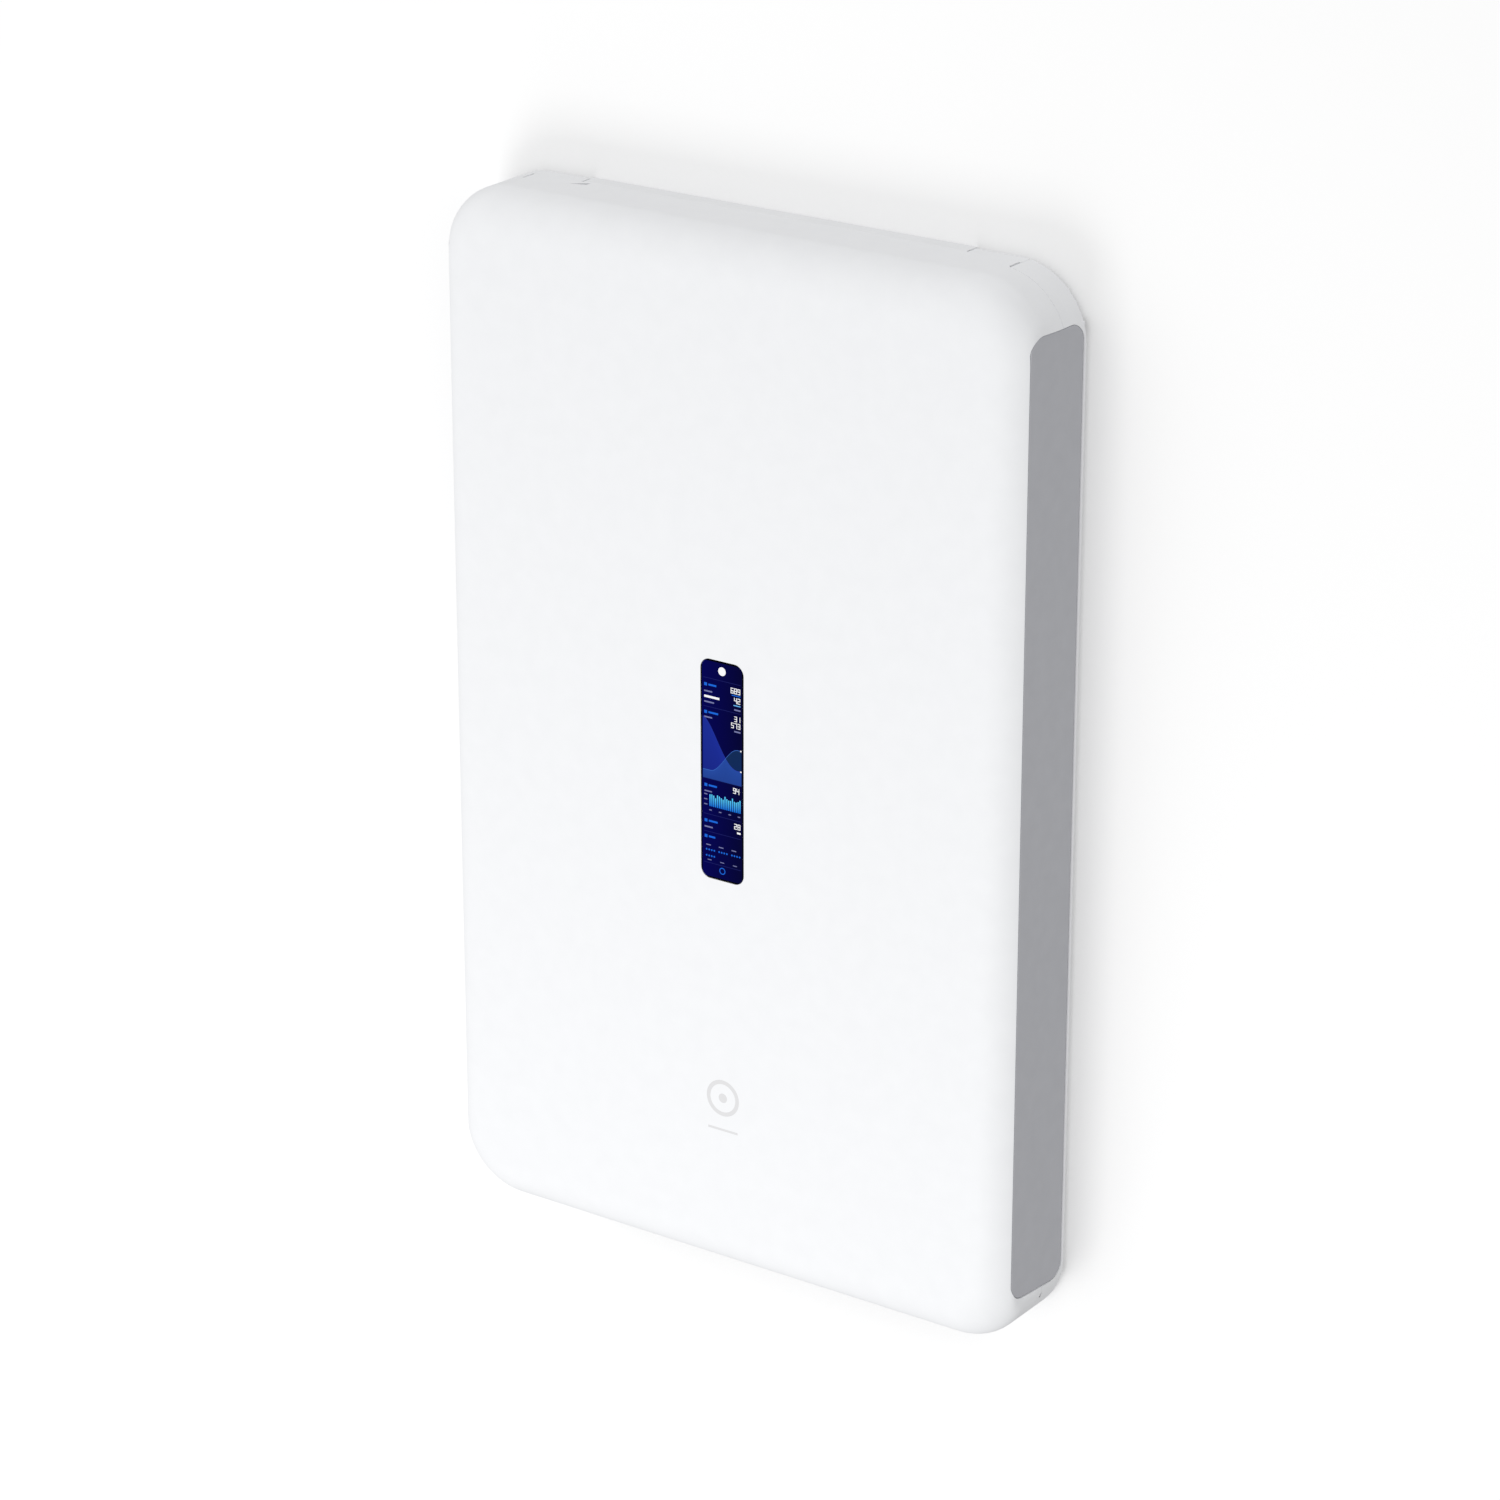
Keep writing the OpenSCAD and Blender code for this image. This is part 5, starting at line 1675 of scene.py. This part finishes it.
@dataclass
class Fan:
    """A fan's rotor, with twisted blades and a domed hub.

    Attributes:
        number: Which fan, from 1 to 4.
        blades: Number of blades.
        hub: Radius of the hub.
        tip: Radius of the blades' tips.
        pitch: Blade pitch at the hub and at the tip, in degrees.
    """

    number: int
    blades: int = 7
    hub: float = 8.74 * MM
    tip: float = 17.35 * MM
    pitch: tuple[float, float] = (50.0, 32.0)

    def blade(self, tall: float) -> Array:
        """One blade: a thin curved section carried from the hub to the tip.

        The section is c (u, 0.09 (1 - u^2) +- t), u from -0.5 to 0.5 and c the chord. It is
        turned by the pitch at its radius and swept back by 0.35 of the radius's share.

        Args:
            tall: Height of the rotor.

        Returns:
            Points as (radius, section point, 3).
        """
        share = np.linspace(0, 1, 12)[:, None]
        radius = self.hub - 0.4 * MM + (self.tip - self.hub + 0.4 * MM) * share
        angle = np.radians(self.pitch[0] + (self.pitch[1] - self.pitch[0]) * share)
        chord = np.minimum(0.92 * tall / np.sin(angle), 15.5 * MM)
        front = np.linspace(-0.5, 0.5, 12)
        u = np.concatenate([front, -front])[None, :]
        side = np.concatenate([np.ones(12), -np.ones(12)])[None, :]
        thick = 0.45 * MM * np.sqrt(np.maximum(1 - (2 * u) ** 4, 0.02))
        bend = 0.09 * chord * (1 - (2 * u) ** 2) + side * thick
        across = chord * u * np.cos(angle) - bend * np.sin(angle)
        up = np.clip(chord * u * np.sin(angle) + bend * np.cos(angle), -tall / 2, tall / 2)
        turn = across / radius + 0.35 * share
        return np.stack([radius * np.cos(turn), radius * np.sin(turn), up], -1)

    def build(self) -> None:
        """Builds the rotor and puts it on its shaft, blowing outwards."""
        node = f"fan_rotor_{self.number}"
        low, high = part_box(node)
        middle_y, middle_z = (low.y + high.y) / 2, (low.z + high.z) / 2
        left = self.number <= 2
        base = high.x if left else low.x
        sign = -1.0 if left else 1.0
        full = high.x - low.x
        hub_low, crown, chamfer = 3.1 * MM, 1.6 * MM, 0.3 * MM
        turn = np.linspace(0, math.pi / 2, 7)
        ray, up = self.hub - crown * (1 - np.cos(turn)), full - crown * (1 - np.sin(turn))
        shaft = [[0.1 * MM, 0.0], [1.3 * MM, 0.0], [1.5 * MM, 0.2 * MM], [1.5 * MM, hub_low]]
        rim = [[self.hub - chamfer, hub_low], [self.hub, hub_low + chamfer]]
        dimple = full - chamfer
        middle = [[3.4 * MM, full], [3.2 * MM, dimple], [0.1 * MM, dimple]]
        profile = np.concatenate([shaft, rim, np.stack([ray, up], -1), middle])
        tall = full - hub_low - 2.4 * MM
        pieces = [revolve(profile, 56)]
        blade = self.blade(tall) + np.array([0, 0, hub_low + 1.2 * MM + tall / 2])
        for step in range(self.blades):
            spin = 2 * math.pi * step / self.blades
            cos, sin = math.cos(spin), math.sin(spin)
            x, y, z = np.moveaxis(blade, -1, 0)
            pieces.append(np.stack([x * cos - y * sin, x * sin + y * cos, z], -1))
        parts = MeshParts()
        for piece in pieces:
            z, y, x = np.moveaxis(piece, -1, 0)
            parts.grid(np.stack([base + sign * x, middle_y + y, middle_z + z], -1))
        Piece.make(
            f"rotor_{self.number}", parts, ROTOR_PLASTIC, node, "rotor_plastic", [node], smooth=40
        )


# --- sockets -----------------------------------------------------------------------------


@dataclass
class SocketContacts:
    """The sprung contacts inside the network sockets.

    Attributes:
        pitch: Distance between sockets of the row.
        first: Middle of the first socket.
        uplink: Middle of the single socket.
        sockets: Sockets in the row.
        contacts: Contacts in a socket.
        spacing: Distance between contacts.
    """

    pitch: float = 14 * MM
    first: float = -109 * MM
    uplink: float = 12 * MM
    sockets: int = 8
    contacts: int = 8
    spacing: float = 1.02 * MM

    def spring(self) -> Array:
        """One contact: a wire that runs in along the socket's rear wall and bends back out.

        Returns:
            Points as (ring, side, 3) about the socket's middle at its mouth.
        """
        share = np.linspace(0, 1, 14)
        depth = 2.5 * MM + 12.5 * MM * share
        bend = np.sin(math.pi * np.minimum(share * 1.25, 1.0)) ** 2 * (1 - 0.5 * share)
        lift = 3.6 * MM - 3.4 * MM * bend
        path = np.stack([np.zeros_like(share), lift, depth], -1)
        return tube(path, 0.18 * MM, 6, (1, 0, 0))

    def build(self) -> None:
        """Builds the contacts of every socket."""
        low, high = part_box("network_ports")
        middle_y = (low.y + high.y) / 2
        middles = [self.first + self.pitch * step for step in range(self.sockets)]
        wire = self.spring()
        parts = MeshParts()
        for middle in (*middles, self.uplink):
            for step in range(self.contacts):
                x = middle + (step - (self.contacts - 1) / 2) * self.spacing
                parts.grid(wire + np.array([x, middle_y, low.z]))
        Piece.make("socket_contacts", parts, GOLD_PLATE, "unit", "brass_parts")


# --- the power supply's round parts ------------------------------------------------------


@dataclass
class SupplyParts:
    """The round parts of the boards: capacitor cans, wound chokes and the coin cell.

    Attributes:
        turns: Turns of wire on a choke.
    """

    turns: int = 22

    def cans(self) -> None:
        """Builds the capacitor cans: a sleeve with a rolled groove and a scored end."""
        low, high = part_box("supply_capacitors")
        length, radius = high.x - low.x, (high.y - low.y) / 2
        score = np.linspace(0.02, 0.8, 16) * radius
        end = -0.25 * MM * (1 + np.cos(score / radius * 14)) * 0.5
        turn = np.linspace(0, math.pi / 2, 5)
        ray, drop = 0.88 + 0.12 * np.sin(turn), -0.12 * (1 - np.cos(turn))
        rim = np.stack([radius * ray, radius * drop], -1)
        depth = np.linspace(3, 7, 12) * MM
        sink = 0.09 * np.exp(-(((depth - 5 * MM) / (0.9 * MM)) ** 2))
        groove = np.stack([radius * (1 - sink), depth - length], -1)
        foot = [[radius, -length + 1 * MM], [radius * 0.94, -length], [0.1 * MM, -length]]
        profile = np.concatenate([np.stack([score, end], -1), rim, groove[::-1], foot])
        surface = revolve(profile, 48)
        middle_y = (low.y + high.y) / 2
        parts = MeshParts()
        for z in np.linspace(low.z + radius, high.z - radius, 3):
            y, up, x = np.moveaxis(surface, -1, 0)
            parts.grid(np.stack([high.x + x, middle_y + y, z + up], -1))
        Piece.make(
            "capacitor_cans", parts, CAN_SLEEVE, "unit", "black_plastic", ["supply_capacitors"],
            smooth=45,
        )

    def chokes(self) -> None:
        """Builds the chokes: a ring whose thickness swells and sinks with its turns.

        The ring's tube radius at the angle a is r (0.93 + 0.07 |sin(turns a / 2)|).
        """
        low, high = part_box("supply_chokes")
        wire = (high.y - low.y) / 2
        middle_x, middle_y = (low.x + high.x) / 2, (low.y + high.y) / 2
        ring = (high.x - low.x) / 2 - wire
        around = (np.arange(self.turns * 8) * 2 * math.pi / (self.turns * 8))[:, None]
        section = (np.arange(20) * 2 * math.pi / 20)[None, :]
        swell = wire * (0.93 + 0.07 * np.abs(np.sin(self.turns * around / 2)))
        reach = ring + swell * np.cos(section)
        parts = MeshParts()
        for z in (low.z + ring + wire, high.z - ring - wire):
            x, y = middle_x + reach * np.cos(around), middle_y + swell * np.sin(section)
            parts.grid(np.stack([x, y, z + reach * np.sin(around)], -1), ring_rows=True)
        Piece.make(
            "choke_windings", parts, WINDING_WIRE, "unit", "winding", ["supply_chokes"], smooth=60
        )

    def cell(self) -> None:
        """Builds the coin cell: a can with a stepped, lightly domed face."""
        low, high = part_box("coin_cell")
        radius, tall = (high.x - low.x) / 2, high.y - low.y
        ray = np.linspace(0.02, 0.8, 10) * radius
        dome = -0.04 * tall * (ray / (0.8 * radius)) ** 2
        step = [[0.84, -0.08], [0.86, -0.2], [0.97, -0.22]]
        side = [[1.0, -0.3], [1.0, -0.97], [0.97, -1.0], [0.02, -1.0]]
        rest = np.array(step + side) * [radius, tall]
        surface = revolve(np.concatenate([np.stack([ray, dome], -1), rest]), 56)
        middle_x, middle_z = (low.x + high.x) / 2, (low.z + high.z) / 2
        parts = MeshParts()
        parts.grid(along_y(surface, middle_x, low.y, middle_z, True))
        Piece.make("cell_can", parts, PLAIN_STEEL, "unit", "plain_steel", ["coin_cell"], smooth=45)

    def build(self) -> None:
        """Builds all of them."""
        self.cans()
        self.chokes()
        self.cell()


FINISHED_NODES: dict[Finish, str] = {
    BRACKET_PAINT: "wall_bracket",
    HOUSING_PAINT: "rear_housing port_panel",
    PLAIN_STEEL: "hanger_plates display_bracket network_ports uplink_port fibre_cages "
    "reset_switch radio_shields",
    FILTER_MESH: "dust_filter_left dust_filter_right",
    GASKET_FOAM: "display_gasket",
    BLACK_PLASTIC: "display_panel power_inlet ribbon_connector fan_frame_1 fan_frame_2 "
    "fan_frame_3 fan_frame_4",
    SCREW_ZINC: "display_screws board_screws",
    RIBBON_FILM: "display_ribbon",
    BRASS: "inlet_pins board_standoffs",
    BOARD_LACQUER: "main_board supply_board radio_board storage_card",
    CHIP_EPOXY: "main_chips port_transformers",
    FIN_ALUMINIUM: "processor_heatsink switch_heatsink supply_heatsinks",
    TAPE_YELLOW: "supply_transformer",
    LEAD_BLACK: "mains_lead antenna_leads",
    LEAD_RED: "supply_lead",
    GOLD_PLATE: "antenna_1 antenna_2 antenna_3 antenna_4",
}


def dress_nodes() -> None:
    """Gives each CAD node that stays in view its finish, in the node's own slots."""
    for finish, names in FINISHED_NODES.items():
        for name in names.split():
            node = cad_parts[name]
            if not node.material_slots:
                node.data.materials.append(finish.material())
            for slot in node.material_slots:
                slot.material = finish.material()
            log.info("%s: dressed in %s", name, finish.name)


# --- the studio --------------------------------------------------------------------------


@dataclass
class Studio:
    """The wall behind, the floor far below, the soft light and the camera.

    Attributes:
        camera_place: Where the camera stands.
        camera_right: The picture's direction to the right.
        camera_up: The picture's direction upwards.
        lens: Focal length for a 36 mm wide picture.
        sky: Radiance of the soft surroundings: its mean, and its growth to the right, to
            the front and upwards.
        shine: Radiance that shiny surfaces see: its mean and its growth upwards.
        keys: Name, place, size and power of each soft light.
        wall: The wall's grey, and light of its own.
        floor: The floor's grey, and light of its own.
        reach: How far the wall and the floor reach.
        below: Height of the floor.
        behind: Depth of the wall.
    """

    camera_place: tuple[float, float, float] = (1.23102, -1.78607, 0.8362)
    camera_right: tuple[float, float, float] = (0.81968, 0.57282, 0.0)
    camera_up: tuple[float, float, float] = (-0.20694, 0.29599, 0.9325)
    lens: float = 119.575
    sky: tuple[float, float, float, float] = (0.70, -0.095, 0.11, 0.13)
    shine: tuple[float, float] = (0.5, 0.25)
    keys: tuple[tuple[str, tuple[float, float, float], float, float], ...] = (
        ("front_key", (-0.5, -2.0, -1.15), 1.0, 11.0),
        ("low_key", (-0.35, -0.9, -1.2), 0.8, 2.0),
    )
    wall: tuple[float, float] = (0.97, 0.095)
    floor: tuple[float, float] = (0.95, 0.2)
    reach: float = 6.0
    below: float = -1.3
    behind: float = 0.0002

    def build_camera(self) -> None:
        """Builds the camera from its place and its two picture directions."""
        data = bpy.data.cameras.new("camera")
        data.lens, data.sensor_width = self.lens, 36.0
        made = bpy.data.objects.new("camera", data)
        right, up = np.array(self.camera_right), np.array(self.camera_up)
        turn = np.eye(4)
        turn[:3] = np.column_stack([right, up, np.cross(right, up), self.camera_place])
        made.matrix_world = Matrix(turn.tolist())
        bpy.context.scene.collection.objects.link(made)
        bpy.context.scene.camera = made

    def build_sky(self) -> None:
        """Builds the surroundings.

        The light that falls on things has the radiance a + g . direction. Reflections see a
        dimmer one, and everything stands before plain white.
        """
        world = bpy.data.worlds.new("surroundings")
        world.use_nodes = True
        world.cycles.sampling_method = "NONE"
        tree = world.node_tree
        tree.nodes.clear()
        place = add_node(tree, "ShaderNodeTexCoord", (-1000, 0))
        rays = add_node(tree, "ShaderNodeLightPath", (-1000, 400))
        mean, right, front, up = self.sky

        def gradient(level: float, growth: tuple[float, float, float], height: float) -> Socket:
            """Adds the nodes for one radiance that grows evenly in one direction.

            Args:
                level: The mean radiance.
                growth: How much it grows along each axis.
                height: Where the nodes stand in the editor.

            Returns:
                The radiance's socket.
            """
            lean = add_node(tree, "ShaderNodeVectorMath", (-800, height), operation="DOT_PRODUCT")
            lean.inputs[1].default_value = growth
            total = add_node(tree, "ShaderNodeMath", (-600, height), operation="ADD")
            total.inputs[1].default_value = level
            tree.links.new(place.outputs["Generated"], lean.inputs[0])
            tree.links.new(lean.outputs["Value"], total.inputs[0])
            return total.outputs[0]

        soft = add_node(tree, "ShaderNodeMix", (-300, 0), data_type="FLOAT")
        tree.links.new(rays.outputs["Is Glossy Ray"], soft.inputs[0])
        tree.links.new(gradient(mean, (right, -front, up), 0), soft.inputs[2])
        tree.links.new(gradient(self.shine[0], (0.0, 0.0, self.shine[1]), -300), soft.inputs[3])
        seen = add_node(tree, "ShaderNodeMix", (-100, 0), data_type="FLOAT")
        seen.inputs[3].default_value = 1.0
        tree.links.new(rays.outputs["Is Camera Ray"], seen.inputs[0])
        tree.links.new(soft.outputs[0], seen.inputs[2])
        back = add_node(tree, "ShaderNodeBackground", (100, 0))
        back.inputs["Color"].default_value = (1, 1, 1, 1)
        output = add_node(tree, "ShaderNodeOutputWorld", (300, 0))
        tree.links.new(seen.outputs[0], back.inputs["Strength"])
        tree.links.new(back.outputs[0], output.inputs["Surface"])
        bpy.context.scene.world = world

    def build_keys(self) -> None:
        """Builds the soft square lights in front and below, each aimed at the case."""
        for name, place, size, power in self.keys:
            data = bpy.data.lights.new(name, "AREA")
            data.size, data.energy = size, power
            made = bpy.data.objects.new(name, data)
            made.location = place
            made.rotation_euler = (-Vector(place)).to_track_quat("-Z", "Y").to_euler()
            bpy.context.scene.collection.objects.link(made)

    def surface(self, name: str, corners: Array, grey: float, glow: float) -> None:
        """Builds a stage surface that is seen from its front only and lights nothing.

        Args:
            name: Its name.
            corners: Its four corners, anticlockwise from its front.
            grey: Its tone.
            glow: Light of its own, which keeps it near white.
        """
        mesh = bpy.data.meshes.new(name)
        mesh.from_pydata(corners.tolist(), [], [[0, 1, 2, 3]])
        made = bpy.data.objects.new(name, mesh)
        bpy.context.scene.collection.objects.link(made)
        paint = bpy.data.materials.new(f"{name}_paint")
        paint.use_nodes = True
        tree = paint.node_tree
        tree.nodes.clear()
        place = add_node(tree, "ShaderNodeTexCoord", (-900, 0))
        noise = add_node(tree, "ShaderNodeTexNoise", (-700, 0))
        noise.inputs["Scale"].default_value = 40
        shader = add_node(tree, "ShaderNodeBsdfPrincipled", (-100, 0))
        shader.inputs["Roughness"].default_value = 1.0
        shader.inputs["Specular IOR Level"].default_value = 0.0
        shader.inputs["Emission Color"].default_value = (1, 1, 1, 1)
        shader.inputs["Emission Strength"].default_value = glow
        clear = add_node(tree, "ShaderNodeBsdfTransparent", (-100, -300))
        side = add_node(tree, "ShaderNodeNewGeometry", (-100, 300))
        choose = add_node(tree, "ShaderNodeMixShader", (200, 0))
        output = add_node(tree, "ShaderNodeOutputMaterial", (400, 0))
        tree.links.new(place.outputs["Object"], noise.inputs["Vector"])
        tone = mix_node(tree, noise.outputs["Fac"], (grey,) * 3, (grey * 0.995,) * 3)
        tree.links.new(tone, shader.inputs["Base Color"])
        tree.links.new(side.outputs["Backfacing"], choose.inputs[0])
        tree.links.new(shader.outputs[0], choose.inputs[1])
        tree.links.new(clear.outputs[0], choose.inputs[2])
        tree.links.new(choose.outputs[0], output.inputs["Surface"])
        mesh.materials.append(paint)
        made.visible_diffuse = made.visible_glossy = False
        made.visible_transmission = made.visible_shadow = False

    def build(self) -> None:
        """Builds the camera, the light, the wall and the floor."""
        self.build_camera()
        self.build_sky()
        self.build_keys()
        wide, low, deep = self.reach, self.below, self.behind
        upright = [[-wide, deep, low], [wide, deep, low], [wide, deep, wide], [-wide, deep, wide]]
        lying = [[-wide, -wide, low], [wide, -wide, low], [wide, wide, low], [-wide, wide, low]]
        self.surface("wall", np.array(upright), *self.wall)
        self.surface("floor", np.array(lying), *self.floor)
        view = bpy.context.scene.view_settings
        view.view_transform, view.look = "Standard", "None"
        log.info("studio: camera, soft lights, wall and floor")


def main() -> None:
    """Builds the studio and every sub-assembly, in order."""
    logging.basicConfig(level=logging.INFO, format="%(name)s: %(message)s")
    Studio().build()
    Case().build()
    Display().build()
    Fixings().build()
    SupplyParts().build()
    SocketContacts().build()
    for number in range(1, 5):
        Fan(number).build()
    dress_nodes()


if __name__ == "__main__":
    main()
